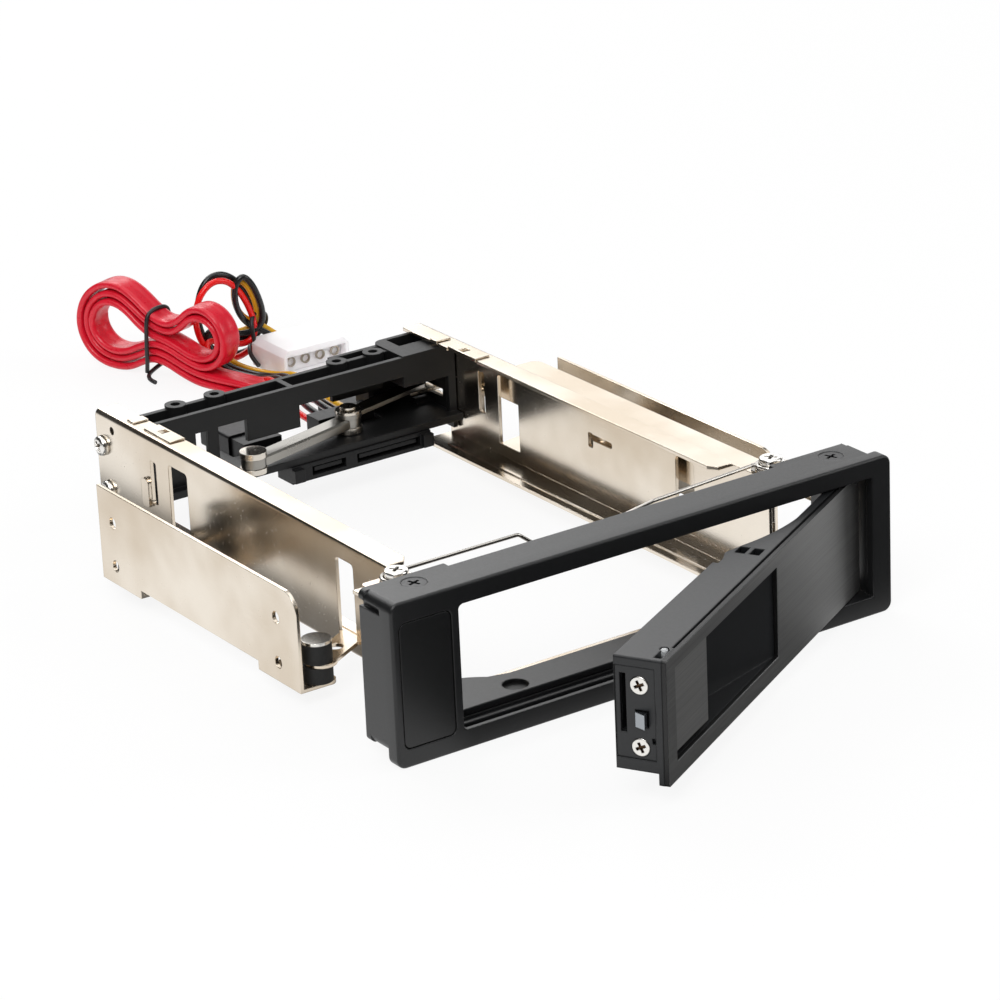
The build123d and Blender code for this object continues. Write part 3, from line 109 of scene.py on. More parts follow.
# Along the hank, across it, and up. The lowest layer goes left and round the big loop
data_left_outer = [
    (-22.0, 4.0, 1.15), (-14.5, 4.0, 1.2), (-8.0, 4.1, 3.0), (-2.0, 4.2, 5.4), (3.0, 4.2, 5.9),
    (7.5, 4.1, 4.0), (12.0, 4.0, 1.7), (17.0, 3.9, 1.15), (22.5, 3.9, 1.8), (27.0, 3.9, 4.4),
    (30.0, 3.9, 9.0), (30.6, 3.9, 14.4), (28.6, 3.9, 19.8), (24.6, 3.9, 24.0), (19.4, 3.9, 26.4),
    (14.0, 3.9, 26.3), (9.2, 3.9, 24.0), (4.6, 4.0, 20.4), (0.2, 4.0, 17.8), (-4.0, 4.1, 17.5),
]
data_right_outer = [
    (-8.0, 4.2, 19.6), (-11.2, 4.3, 22.8), (-15.6, 4.3, 24.2), (-20.2, 4.3, 22.8),
    (-23.4, 4.3, 19.2), (-24.4, 4.3, 14.6), (-23.0, 4.2, 10.0), (-19.4, 4.2, 6.9),
    (-14.6, 4.2, 5.9), (-8.6, 4.2, 7.7), (-3.0, 4.1, 10.1),
]
data_left_inner = [
    (2.4, 4.0, 10.8), (7.4, 3.8, 9.2), (12.0, 3.6, 6.8), (16.6, 3.5, 5.9), (21.2, 3.5, 7.0),
    (24.6, 3.5, 10.2), (25.6, 3.5, 14.4), (23.8, 3.6, 18.4), (20.2, 3.7, 20.9), (15.8, 3.8, 21.0),
    (11.6, 3.9, 19.0), (7.6, 4.0, 15.6), (3.4, 4.1, 13.2), (-1.4, 4.2, 12.4),
]
data_right_inner = [
    (-6.0, 4.4, 10.9), (-10.6, 4.5, 8.9), (-15.2, 4.6, 8.3), (-19.4, 4.6, 9.8), (-21.8, 4.6, 13.2),
    (-21.6, 4.6, 17.2), (-18.8, 4.6, 20.4), (-14.8, 4.6, 21.4), (-11.0, 4.6, 20.2),
    (-7.9, 4.5, 17.2), (-4.4, 4.5, 15.1),
]
data_left_middle = [
    (0.4, 4.4, 15.2), (5.6, 4.3, 17.6), (10.2, 4.2, 21.0), (14.6, 4.2, 23.4), (19.4, 4.2, 23.6),
    (23.8, 4.2, 21.4), (26.9, 4.2, 17.8), (28.1, 4.2, 13.4), (27.0, 4.2, 8.9), (24.0, 4.2, 5.4),
    (19.6, 4.3, 3.7), (14.4, 4.3, 3.7), (9.4, 4.3, 5.6), (4.6, 4.3, 7.9), (0.0, 4.3, 8.1),
    (-5.0, 4.3, 6.6), (-10.6, 4.2, 4.6), (-16.0, 4.2, 3.6), (-22.0, 4.1, 3.5),
]
data_far_end = [
    (33.2, 242.6, 3.5), (36.8, 234.2, 3.3), (40.4, 226.0, 3.0), (42.5, 217.7, 4.0), (42.5, 209.0, 4.0),
]
data_hank = data_left_outer + data_right_outer + data_left_inner + data_right_inner + data_left_middle
data_route = data_near_end + [hank_place(*spot) for spot in data_hank] + data_far_end


class Wire:
    """A shader socket that adds, subtracts and multiplies as a number does."""

    def __init__(self, finish, socket):
        self.finish = finish
        self.socket = socket

    def joined(self, operation, first, second):
        """One Math node on two values."""
        return self.finish.joined(operation, first, second)

    def __add__(self, other):
        return self.joined("ADD", self, other)

    def __radd__(self, other):
        return self.joined("ADD", other, self)

    def __sub__(self, other):
        return self.joined("SUBTRACT", self, other)

    def __rsub__(self, other):
        return self.joined("SUBTRACT", other, self)

    def __mul__(self, other):
        return self.joined("MULTIPLY", self, other)

    def __rmul__(self, other):
        return self.joined("MULTIPLY", other, self)

    def step(self, low, high):
        """0 up to low, 1 from high on, and smooth between them."""
        return self.finish.node(
            "ShaderNodeMapRange",
            {"interpolation_type": "SMOOTHSTEP"},
            {"Value": self, "From Min": low, "From Max": high},
        )


class Nodes:
    """The nodes of one material, or of the world."""

    def __init__(self, tree):
        self.tree = tree

    def fill(self, node, sockets):
        """Puts a number, a colour, a vector or a link on each named socket."""
        for name, value in sockets.items():
            target = node.inputs[name]
            if isinstance(value, Wire):
                self.tree.links.new(value.socket, target)
            elif target.type == "RGBA":
                target.default_value = (*value, 1.0)
            else:
                target.default_value = value

    def node(self, kind, settings, sockets, out=0):
        """Adds a node, makes its settings, then fills its sockets."""
        made = self.tree.nodes.new(kind)
        for name, value in settings.items():
            setattr(made, name, value)
        self.fill(made, sockets)
        return Wire(self, made.outputs[out])

    def joined(self, operation, first, second):
        """One Math node on two values."""
        return self.node("ShaderNodeMath", {"operation": operation}, {0: first, 1: second})

    def split(self, vector, axis):
        """One of a vector's three numbers."""
        return self.node("ShaderNodeSeparateXYZ", {}, {"Vector": vector}, axis)


class Finish(Nodes):
    """One material, built on the Principled shader. Its named sockets are set when it is made."""

    def __init__(self, name, **sockets):
        self.material = bpy.data.materials.new(name)
        self.material.use_nodes = True
        super().__init__(self.material.node_tree)
        self.shader = self.tree.nodes["Principled BSDF"]
        self.fill(self.shader, {socket.replace("_", " "): value for socket, value in sockets.items()})

    def place(self, stretch=(1, 1, 1), turn=(0, 0, 0)):
        """The place on the object in metres, turned and then stretched."""
        source = self.node("ShaderNodeTexCoord", {}, {}, "Object")
        turned = self.node(
            "ShaderNodeVectorRotate", {"rotation_type": "EULER_XYZ"}, {"Vector": source, "Rotation": turn}
        )
        return self.node("ShaderNodeVectorMath", {"operation": "MULTIPLY"}, {0: turned, 1: stretch})

    def noise(self, scale, detail=3.0, stretch=(1, 1, 1), turn=(0, 0, 0)):
        """Noise with so many cells in a metre, from 0 to 1."""
        return self.node(
            "ShaderNodeTexNoise",
            {},
            {"Vector": self.place(stretch, turn), "Scale": scale, "Detail": detail},
            0,
        )

    def blend(self, amount, first, second):
        """A colour between two others."""
        return self.node("ShaderNodeMix", {"data_type": "RGBA"}, {0: amount, 6: first, 7: second}, 2)

    def relief(self, height, distance, rounding=0.0):
        """Raises the surface by a height from 0 to 1, and rounds its edges where a radius is given."""
        sockets = {"Height": height, "Distance": distance}
        if rounding:
            sockets["Normal"] = self.node("ShaderNodeBevel", {"samples": 4}, {"Radius": rounding})
        self.fill(self.shader, {"Normal": self.node("ShaderNodeBump", {}, sockets)})


def line_of(route):
    """The points of the smooth line through a route, read from its NURBS spline."""
    curve = bpy.data.curves.new("route", "CURVE")
    curve.dimensions = "3D"
    curve.resolution_u = 8
    spline = curve.splines.new("NURBS")
    spline.points.add(len(route) - 1)
    for control, spot in zip(spline.points, route):
        control.co = (*at(*spot), 1.0)
    spline.order_u = 3
    spline.use_endpoint_u = True
    carrier = bpy.data.objects.new("route", curve)
    carrier_mesh = bpy.data.meshes.new_from_object(carrier)
    line = [vertex.co.copy() for vertex in carrier_mesh.vertices]
    bpy.data.objects.remove(carrier)
    bpy.data.meshes.remove(carrier_mesh)
    bpy.data.curves.remove(curve)
    return line


def shown(name, shape, finish, body, *replaced):
    """Puts a finished bmesh or mesh in the scene, on its body, in place of the nodes that it stands for."""
    data = shape
    if isinstance(shape, bmesh.types.BMesh):
        data = bpy.data.meshes.new(name)
        shape.to_mesh(data)
        shape.free()
    data.materials.append(finish.material)
    made = bpy.data.objects.new(name, data)
    bpy.context.scene.collection.objects.link(made)
    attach(made, body)
    if replaced:
        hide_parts(*replaced)
    return made


def swept_ribbon(line, first_across):
    """A flat cable along a line, standing level across it, with a shallow groove between its cores."""
    half = [(-1.0, 0.0), (-0.96, 0.55), (-0.84, 0.92), (-0.62, 1.0), (-0.2, 0.96), (0.0, 0.84)]
    outline = half + [(-x, y) for x, y in reversed(half[:-1])]
    outline += [(x, -y) for x, y in reversed(outline[1:-1])]
    made = bmesh.new()
    ribs = made.loops.layers.uv.new("ribbon")
    across = first_across
    rings = []
    run = 0.0
    for place, point in enumerate(line):
        ahead = (line[min(place + 1, len(line) - 1)] - line[max(place - 1, 0)]).normalized()
        level = ahead.cross(Vector((0, 0, 1)))
        if level.length > 0.2:
            level.normalize()
            across = across.lerp(level if level.dot(across) > 0 else -level, 0.6)
        across = (across - ahead * across.dot(ahead)).normalized()
        outward = across.cross(ahead)
        if place:
            run += (point - line[place - 1]).length
        ring = [
            made.verts.new(point + across * x * ribbon_wide / 2 * mm + outward * y * ribbon_thick / 2 * mm)
            for x, y in outline
        ]
        rings.append((run, ring))
    for (start, first), (end, second) in zip(rings, rings[1:]):
        for side in range(len(outline)):
            after = (side + 1) % len(outline)
            face = made.faces.new((first[side], first[after], second[after], second[side]))
            face.smooth = True
            for loop, u, v in zip(face.loops, (start, start, end, end), (side, side + 1, side + 1, side)):
                loop[ribs].uv = (u, v / len(outline))
    made.faces.new(rings[0][1])
    made.faces.new(rings[-1][1])
    bmesh.ops.recalc_face_normals(made, faces=made.faces)
    return made


jacket = Finish(
    "red ribbon PVC",
    Roughness=0.36,
    Subsurface_Weight=0.1,
    Subsurface_Radius=(0.004, 0.001, 0.001),
    Subsurface_Scale=0.4,
)
jacket_tone = jacket.blend(jacket.noise(220.0, 2.0), (0.60, 0.006, 0.022), (0.74, 0.012, 0.036))
jacket.fill(jacket.shader, {"Base Color": jacket_tone, "Roughness": 0.24 + 0.10 * jacket.noise(500.0, 2.0)})
jacket.relief(jacket.noise(700.0, 1.0), 0.000012)

data_line = line_of(data_route)
data_cable = shown(
    "data_cable",
    swept_ribbon(data_line, Vector((1, 0, 0))),
    jacket,
    "cage",
    "data_cable_near_tail",
    "data_cable_hank",
    "data_cable_far_tail",
)


# Twist ties: a thin wire in a black plastic strip, bent once round a hank with its ends twisted
# together. One holds the ribbon at its waist and the other the wires of the power lead.
tie_thick = 1.3
tie_black = Finish("twist tie plastic", Base_Color=(0.012, 0.012, 0.013), Specular_IOR_Level=0.5)
tie_black.fill(tie_black.shader, {"Roughness": 0.3 + 0.2 * tie_black.noise(1500.0)})
tie_black.relief(tie_black.noise(2500.0, 1.0), 0.00003)


def swept_wire(line, thick, sides=12):
    """A round wire along a line, closed at both ends."""
    made = bmesh.new()
    start = (line[1] - line[0]).normalized()
    out = start.orthogonal().normalized()
    rings = []
    for place, point in enumerate(line):
        ahead = (line[min(place + 1, len(line) - 1)] - line[max(place - 1, 0)]).normalized()
        out = (out - ahead * out.dot(ahead)).normalized()
        side = ahead.cross(out)
        rings.append([
            made.verts.new(point + (out * math.cos(turn) + side * math.sin(turn)) * thick / 2 * mm)
            for turn in (math.tau * step / sides for step in range(sides))
        ])
    for first, second in zip(rings, rings[1:]):
        for step in range(sides):
            after = (step + 1) % sides
            made.faces.new((first[step], first[after], second[after], second[step])).smooth = True
    made.faces.new(rings[0])
    made.faces.new(rings[-1])
    bmesh.ops.recalc_face_normals(made, faces=made.faces)
    return made


data_tie_route = [
    hank_place(*spot)
    for spot in (
        (4.0, -0.8, 2.0), (3.6, -0.9, 4.6), (3.4, -1.0, 8.0), (3.2, -1.0, 12.0), (3.0, -0.9, 16.0),
        (2.8, -0.6, 19.2), (2.6, 1.4, 20.6), (2.4, 4.2, 20.9), (2.4, 7.4, 20.4), (2.6, 9.3, 18.6),
        (2.8, 9.4, 14.0), (3.2, 9.3, 9.0), (3.6, 9.2, 5.4), (4.0, 8.4, 3.2), (4.2, 5.4, 2.4),
        (4.1, 2.4, 1.9), (3.6, -0.2, 1.6), (2.4, -2.2, 1.3), (0.6, -3.4, 0.9), (-1.6, -3.9, 0.8),
    )
]
data_tie_shape = swept_wire(line_of(data_tie_route), tie_thick)
data_tie = shown("data_cable_twist_tie", data_tie_shape, tie_black, "cage", "data_cable_tie")
at(-5.5, 192.5, 13.2)


# Power lead: four PVC wires of 1.9 mm, a red, two blacks and a yellow. They run on the floor behind
# the holder, make one loop through a twist tie and go into the back of the white plug.
wire_thick = 1.9
red_route = [
    (15.7, 173.0, 13.8), (15.7, 183.0, 13.8), (18.4, 193.5, 12.8), (23.4, 204.0, 10.8),
    (28.6, 214.5, 8.8), (32.8, 225.0, 7.2), (36.4, 235.5, 5.6), (38.6, 243.5, 2.6),
    (37.6, 251.0, 1.1), (34.9, 257.0, 1.3), (32.9, 261.5, 3.4), (32.4, 264.6, 7.2),
    (34.2, 266.6, 9.6), (38.4, 267.2, 8.1), (43.6, 267.0, 6.0), (48.2, 266.6, 5.8),
    (50.4, 266.3, 8.6), (49.9, 266.0, 12.6), (48.2, 265.8, 17.6), (45.4, 265.6, 22.8),
    (41.4, 265.5, 26.9), (36.6, 265.5, 27.7), (32.6, 265.6, 25.0), (30.4, 265.9, 20.2),
    (30.4, 266.3, 14.6), (32.4, 266.6, 8.6), (36.0, 266.8, 4.2), (41.0, 267.4, 1.6),
    (46.6, 269.0, 1.2), (50.2, 268.6, 3.0), (50.6, 265.6, 4.3), (50.6, 261.5, 4.3),
]
first_black_route = [
    (19.9, 173.0, 13.8), (19.9, 183.0, 13.8), (22.3, 193.5, 12.9), (26.9, 204.0, 10.9),
    (31.8, 214.5, 8.9), (35.7, 225.0, 7.3), (38.8, 235.5, 5.6), (40.6, 243.5, 2.6),
    (39.7, 251.3, 1.1), (37.0, 257.8, 1.3), (35.0, 262.6, 3.2), (34.0, 266.8, 7.0),
    (35.6, 269.1, 9.9), (39.4, 269.4, 8.6), (44.0, 269.2, 6.6), (48.6, 268.8, 6.4),
    (51.4, 268.5, 9.2), (51.6, 268.2, 13.4), (50.0, 268.0, 18.6), (47.2, 267.8, 23.8),
    (42.8, 267.6, 28.0), (37.8, 267.6, 28.9), (34.2, 267.7, 26.2), (32.4, 268.0, 21.2),
    (32.4, 268.4, 15.4), (34.2, 268.8, 9.4), (37.8, 269.2, 4.6), (43.0, 270.2, 1.8),
    (49.8, 271.4, 1.2), (54.4, 270.6, 3.0), (55.66, 266.6, 4.3), (55.66, 261.5, 4.3),
]
second_black_route = [
    (24.1, 173.0, 13.8), (24.1, 183.0, 13.8), (26.2, 193.5, 13.0), (30.4, 204.0, 11.1),
    (35.0, 214.5, 9.1), (38.6, 225.0, 7.4), (41.2, 235.5, 5.6), (42.6, 243.8, 2.6),
    (41.8, 252.0, 1.1), (39.2, 259.2, 1.3), (37.0, 264.4, 3.0), (34.8, 267.6, 7.4),
    (34.8, 268.2, 11.6), (38.6, 267.6, 11.8), (43.4, 267.2, 9.4), (48.4, 266.6, 8.6),
    (52.2, 265.4, 10.6), (52.4, 264.6, 15.0), (51.0, 264.2, 20.0), (48.9, 264.2, 24.8),
    (46.4, 264.6, 27.6), (44.2, 265.2, 25.6), (43.7, 265.8, 20.9), (45.0, 266.4, 16.0),
    (47.7, 266.6, 12.0), (51.2, 266.4, 9.6), (54.6, 266.6, 7.2), (57.8, 267.2, 4.6),
    (60.5, 266.6, 3.8), (60.74, 261.5, 4.3),
]
yellow_route = [
    (28.3, 173.0, 13.8), (28.3, 183.0, 13.8), (30.1, 193.5, 13.1), (33.9, 204.0, 11.3),
    (38.2, 214.5, 9.3), (41.5, 225.0, 7.5), (43.4, 235.5, 5.6), (44.6, 244.0, 2.6),
    (43.9, 252.8, 1.1), (41.4, 260.4, 1.3), (39.6, 266.0, 3.2), (39.4, 269.8, 7.2),
    (42.4, 270.6, 9.6), (47.0, 269.4, 8.6), (51.0, 267.8, 10.2), (51.8, 266.6, 14.6),
    (50.4, 266.0, 19.6), (48.3, 266.0, 23.9), (46.0, 266.4, 26.0), (44.6, 267.2, 23.8),
    (44.8, 267.9, 19.4), (46.2, 268.2, 15.2), (48.8, 268.0, 12.4), (52.4, 267.6, 10.4),
    (56.0, 267.8, 7.6), (59.6, 268.6, 4.6), (63.4, 268.8, 3.2), (65.8, 266.8, 3.8),
    (65.82, 261.5, 4.3),
]
wire_makings = (
    ("red", red_route, "red_wire", (0.88, 0.006, 0.006), "power_wire_red"),
    ("black_1", first_black_route, "black_wire", (0.012, 0.013, 0.014), "power_wire_black_1"),
    ("black_2", second_black_route, "black_wire", (0.012, 0.013, 0.014), "power_wire_black_2"),
    ("yellow", yellow_route, "yellow_wire", (0.84, 0.45, 0.012), "power_wire_yellow"),
)
power_tie_route = [
    (48.6, 263.2, 3.0), (47.9, 263.0, 7.0), (47.7, 263.4, 10.4), (48.2, 264.6, 13.0),
    (50.4, 266.4, 14.4), (53.4, 268.0, 14.0), (56.4, 269.8, 12.0), (57.2, 271.0, 9.2),
    (55.6, 271.6, 6.6), (52.4, 271.0, 4.6), (49.4, 268.6, 3.8), (47.6, 265.6, 3.6),
    (46.4, 262.8, 3.0), (46.2, 260.6, 2.0), (46.3, 258.6, 1.0),
]
power_tie = shown("power_lead_twist_tie", swept_wire(line_of(power_tie_route), tie_thick), tie_black, "cage")
for wire_name, route, slot_name, wire_colour, wire_node in wire_makings:
    wire_pvc = Finish(f"{wire_name} wire PVC", Specular_IOR_Level=0.5)
    wire_shade = tuple(channel * 0.8 for channel in wire_colour)
    wire_pvc.fill(wire_pvc.shader, {
        "Base Color": wire_pvc.blend(wire_pvc.noise(300.0), wire_shade, wire_colour),
        "Roughness": 0.18 + 0.14 * wire_pvc.noise(1200.0),
    })
    wire_pvc.relief(wire_pvc.noise(900.0, 1.0), 0.000008)
    wire_line = line_of(route)
    replaced = [wire_node, "power_lead_hank"] if wire_name == "red" else [wire_node]
    wire_shape = swept_wire(wire_line, wire_thick, 14)
    wire = shown(f"power_lead_{wire_name}", wire_shape, wire_pvc, "cage", *replaced)
    at(*route[0])


# Plugs and headers: the power plug is milky white nylon over four tinned sockets, and the data
# plugs, the drive's receptacle and the headers are glossy black polyester on a dark board.
nodes = frame["nodes"]


def coat(finish, *names):
    """Gives whole CAD nodes one finish."""
    for name in names:
        nodes[name].data.materials.clear()
        nodes[name].data.materials.append(finish.material)


nylon = Finish(
    "milky nylon",
    Roughness=0.32,
    Subsurface_Weight=0.5,
    Subsurface_Radius=(0.004, 0.0038, 0.004),
    Subsurface_Scale=1.0,
)
nylon.fill(nylon.shader, {
    "Base Color": nylon.blend(nylon.noise(160.0, 2.0), (0.93, 0.90, 0.93), (0.98, 0.97, 0.99)),
    "Roughness": 0.24 + 0.16 * nylon.noise(900.0),
})
nylon.relief(nylon.noise(1500.0, 2.0), 0.00002, 0.0004)
coat(nylon, "power_plug")

tin = Finish("tinned socket", Base_Color=(0.62, 0.55, 0.46), Metallic=1.0)
tin.fill(tin.shader, {"Roughness": 0.28 + 0.25 * tin.noise(1800.0)})
tin.relief(tin.noise(3000.0), 0.00002)
coat(tin, "power_plug_pins")

# The web of the plug's mouth, flush round the ends of its sockets
pins_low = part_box("power_plug_pins")[0]
plug_low, plug_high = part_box("power_plug")
web = bmesh.new()
bmesh.ops.create_cube(web, size=1.0)
web_low = Vector((plug_low.x + 1.0 * mm, pins_low.y + 0.7 * mm, plug_low.z + 1.0 * mm))
web_high = Vector((plug_high.x - 1.0 * mm, pins_low.y + 5.0 * mm, plug_high.z - 1.7 * mm))
bmesh.ops.scale(web, vec=web_high - web_low, verts=web.verts)
bmesh.ops.translate(web, vec=(web_low + web_high) / 2, verts=web.verts)
bmesh.ops.bevel(
    web,
    geom=list(web.edges),
    offset=0.3 * mm,
    offset_type="OFFSET",
    affect="EDGES",
    segments=2,
    profile=0.5,
    material=-1,
)
plug_web = shown("power_plug_web", web, nylon, "cage")

polyester = Finish("glossy black polyester", Specular_IOR_Level=0.22)
polyester.fill(polyester.shader, {
    "Base Color": polyester.blend(polyester.noise(350.0), (0.006, 0.006, 0.0065), (0.011, 0.011, 0.012)),
    "Roughness": 0.26 + 0.2 * polyester.noise(900.0),
})
polyester.relief(polyester.noise(2600.0), 0.00002, 0.0003)
coat(polyester, "data_plug", "data_cable_end_plug", "drive_connector", "data_header", "power_header")

board_mask = Finish("dark red board", Specular_IOR_Level=0.5)
board_mask.fill(board_mask.shader, {
    "Base Color": board_mask.blend(board_mask.noise(500.0), (0.035, 0.006, 0.012), (0.060, 0.010, 0.020)),
    "Roughness": 0.3 + 0.2 * board_mask.noise(700.0),
})
board_mask.relief(board_mask.noise(1200.0), 0.00003)
coat(board_mask, "backplane_board")


# Bezel: moulded black ABS with a fine matt grain, a smooth blank panel let into its left end, and
# black countersunk screws that hold it to the steel straps from above.
abs_black = Finish("satin black ABS")
abs_black.fill(abs_black.shader, {
    "Base Color": abs_black.blend(
        abs_black.noise(90.0, 4.0), (0.0065, 0.0068, 0.0072), (0.0100, 0.0104, 0.0112)
    ),
    "Roughness": 0.30 + 0.12 * abs_black.noise(1400.0, 4.0),
})
abs_black.relief(abs_black.noise(5200.0, 2.0), 0.000012, 0.0005)
riders = {node: body for body, members in frame["record"]["behaviour"]["bodies"].items() for node in members}


def rounded(shape, edges, radius, segments):
    """Rounds some edges of a shape, and gives back the faces that this makes."""
    made = bmesh.ops.bevel(
        shape,
        geom=edges,
        offset=radius * mm,
        offset_type="OFFSET",
        affect="EDGES",
        segments=segments,
        profile=0.5,
        material=-1,
        clamp_overlap=False,
        loop_slide=True,
    )
    return made["faces"]


def merged(node):
    """A CAD node's shape with its loose triangles joined into whole faces."""
    shape = bmesh.new()
    shape.from_mesh(nodes[node].data)
    bmesh.ops.remove_doubles(shape, verts=shape.verts, dist=0.002 * mm)
    bmesh.ops.dissolve_limit(shape, angle_limit=math.radians(1), verts=shape.verts, edges=shape.edges)
    return shape


def eased(node, finish, width, bends=()):
    """Puts a CAD node's shape in its place again, its bends rounded and its sharp outer edges eased."""
    shape = merged(node)
    for radius, on_bend in bends:
        folds = [
            edge for edge in shape.edges
            if edge.is_manifold
            and edge.calc_face_angle() > 1.2
            and all(on_bend(vert.co) for vert in edge.verts)
        ]
        rounded(shape, folds, radius, 6)
    crisp = [
        edge for edge in shape.edges
        if edge.is_manifold and edge.calc_face_angle_signed() > 0.8 and edge.calc_length() > 4 * width * mm
    ]
    strips = set(rounded(shape, crisp, width, 2))
    for face in shape.faces:
        face.smooth = True
    for edge in shape.edges:
        beside = sum(face in strips for face in edge.link_faces)
        edge.smooth = edge.is_manifold and edge.calc_face_angle() < 0.5 and beside != 1 or beside == 2
    made = shown(f"eased_{node}", shape, finish, riders[node], node)
    return made


for black_moulding in ("bezel_frame", "bezel_sill"):
    eased(black_moulding, abs_black, 0.2)

nylon_black = Finish("matt black nylon", Specular_IOR_Level=0.28)
nylon_black.fill(nylon_black.shader, {
    "Base Color": nylon_black.blend(
        nylon_black.noise(120.0, 3.0), (0.0065, 0.0066, 0.0068), (0.0105, 0.0106, 0.0110)
    ),
    "Roughness": 0.34 + 0.14 * nylon_black.noise(1300.0, 3.0),
})
nylon_black.relief(nylon_black.noise(4600.0, 2.0), 0.000012, 0.0004)
coat(nylon_black, "rear_holder")

# A thin black disc lies under the sill's hole, which looks dark in the photograph. The solids have
# an open hole there
# The disc is painted shade: a dark sheet that stands for the shade inside the hole
sill_hole = at(-33.2, 10.9, 0)
painted_shade_disc_radius = 3.3 * mm
painted_shade_disc_thick = 0.5 * mm
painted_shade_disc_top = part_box("bezel_sill")[0].z + 0.8 * mm
painted_shade_disc = bmesh.new()
bmesh.ops.create_circle(painted_shade_disc, cap_ends=True, segments=32, radius=painted_shade_disc_radius)
painted_shade_disc_wall = bmesh.ops.extrude_face_region(painted_shade_disc, geom=list(painted_shade_disc.faces))["geom"]
painted_shade_disc_under = [part for part in painted_shade_disc_wall if isinstance(part, bmesh.types.BMVert)]
bmesh.ops.translate(painted_shade_disc, vec=(0, 0, -painted_shade_disc_thick), verts=painted_shade_disc_under)
bmesh.ops.translate(painted_shade_disc, vec=(sill_hole.x, sill_hole.y, painted_shade_disc_top), verts=painted_shade_disc.verts)
bmesh.ops.recalc_face_normals(painted_shade_disc, faces=painted_shade_disc.faces)
sill_painted_shade_disc = shown("sill_hole_painted_shade_disc", painted_shade_disc, nylon_black, "cage")

panel_black = Finish("smooth black panel")
panel_black.fill(panel_black.shader, {
    "Base Color": panel_black.blend(
        panel_black.noise(110.0), (0.0055, 0.0058, 0.0060), (0.0085, 0.0088, 0.0092)
    ),
    "Roughness": 0.28 + 0.08 * panel_black.noise(700.0),
})
panel_black.relief(panel_black.noise(4200.0), 0.000008, 0.0004)
eased("bezel_blank_panel", panel_black, 0.25)

black_oxide = Finish("black oxide screw", Metallic=0.6)
black_oxide.fill(black_oxide.shader, {
    "Base Color": black_oxide.blend(black_oxide.noise(900.0), (0.02, 0.02, 0.021), (0.05, 0.05, 0.052)),
    "Roughness": 0.25 + 0.2 * black_oxide.noise(2000.0),
})
black_oxide.relief(black_oxide.noise(3500.0), 0.00001, 0.0002)
coat(black_oxide, "bezel_top_screws")


# Door: a black ABS body behind a dark brushed plate, with a sliding latch plate on its left, a
# steel end plate, finished here in the body's black ABS, with two bright screws, the sprung bolt and a clear
# light pipe.
door_yaw = math.radians(30.3)
door_black = Finish("smooth black ABS")
door_black.fill(door_black.shader, {
    "Base Color": door_black.blend(
        door_black.noise(100.0, 4.0), (0.0085, 0.0092, 0.0102), (0.0125, 0.0134, 0.0148)
    ),
    "Roughness": 0.27 + 0.12 * door_black.noise(1100.0, 3.0),
})
door_black.relief(door_black.noise(4200.0), 0.00001, 0.0005)
coat(door_black, "door_body", "door_end_plate")


def brushed(name, dark, light):
    """Black anodised sheet, brushed along the door, with painted shade on every face that does not face
    straight out, its cut edges among them.
    """
    sheet = Finish(name, Metallic=0.9)
    outward = sheet.node("ShaderNodeTexCoord", {}, {}, "Normal")
    straight_on = (math.sin(door_yaw), -math.cos(door_yaw), 0)
    painted_shade_facing = sheet.node(
        "ShaderNodeVectorMath", {"operation": "DOT_PRODUCT"}, {0: outward, 1: straight_on}, "Value"
    )
    hair = sheet.noise(1.0, 2.0, (60, 900, 9000), (0, 0, -door_yaw))
    long_hair = sheet.noise(1.0, 1.0, (16, 500, 3200), (0, 0, -door_yaw))
    # Painted shade: faces that do not face straight out take a third of the dark tone
    sheet.fill(sheet.shader, {
        "Base Color": sheet.blend(
            painted_shade_facing.step(0.4, 0.9),
            tuple(0.3 * tone for tone in dark),
            sheet.blend(0.6 * hair + 0.4 * long_hair, dark, light),
        ),
        "Roughness": 0.32 + 0.16 * hair,
    })
    sheet.relief(0.6 * hair + 0.4 * long_hair, 0.00003, 0.0003)
    return sheet


eased("door_face_plate", brushed("brushed black plate", (0.15, 0.15, 0.15), (0.46, 0.46, 0.455)), 0.12)
eased("latch_slider", brushed("brushed latch plate", (0.24, 0.24, 0.24), (0.62, 0.62, 0.61)), 0.25)

clear_pipe = Finish("clear light pipe", Roughness=0.08, Transmission_Weight=0.5)
clear_pipe.fill(clear_pipe.shader, {
    "Base Color": clear_pipe.blend(clear_pipe.noise(800.0), (0.75, 0.78, 0.80), (0.92, 0.94, 0.95)),
})
clear_pipe.relief(clear_pipe.noise(1500.0), 0.00002)
coat(clear_pipe, "door_indicator")


# Cage and brackets: folded 1 mm steel under satin nickel, warm in tone, with cloudy reflections,
# partly from rougher patches and partly painted into its colour, faint scratches and eased edges.
# The rails' bends are rounded more.
def nickel(name, dark, light, rough=0.28):
    """Nickel-plated sheet, lightly scratched, with cloudy reflections partly painted into its colour."""
    plate = Finish(name, Metallic=1.0)
    painted_reflection_and_roughness_cloud = plate.noise(24.0, 3.0)
    scratch = plate.noise(1.0, 2.0, (500, 200, 4200)).step(0.6, 0.8)
    speck = plate.noise(1500.0, 2.0).step(0.66, 0.74)
    # Painted reflection: the broad clouds of dark and light tone stand for what the sheet mirrors; the same
    # clouds also vary the roughness
    plate.fill(plate.shader, {
        "Base Color": plate.blend(0.85 * painted_reflection_and_roughness_cloud.step(0.3, 0.7) + 0.15 * scratch, dark, light),
        "Roughness": rough + 0.08 * painted_reflection_and_roughness_cloud + 0.03 * scratch + 0.08 * speck,
    })
    plate.relief(0.5 * plate.noise(60.0, 2.0) + 0.02 * plate.noise(1600.0), 0.00005, 0.00025)
    return plate


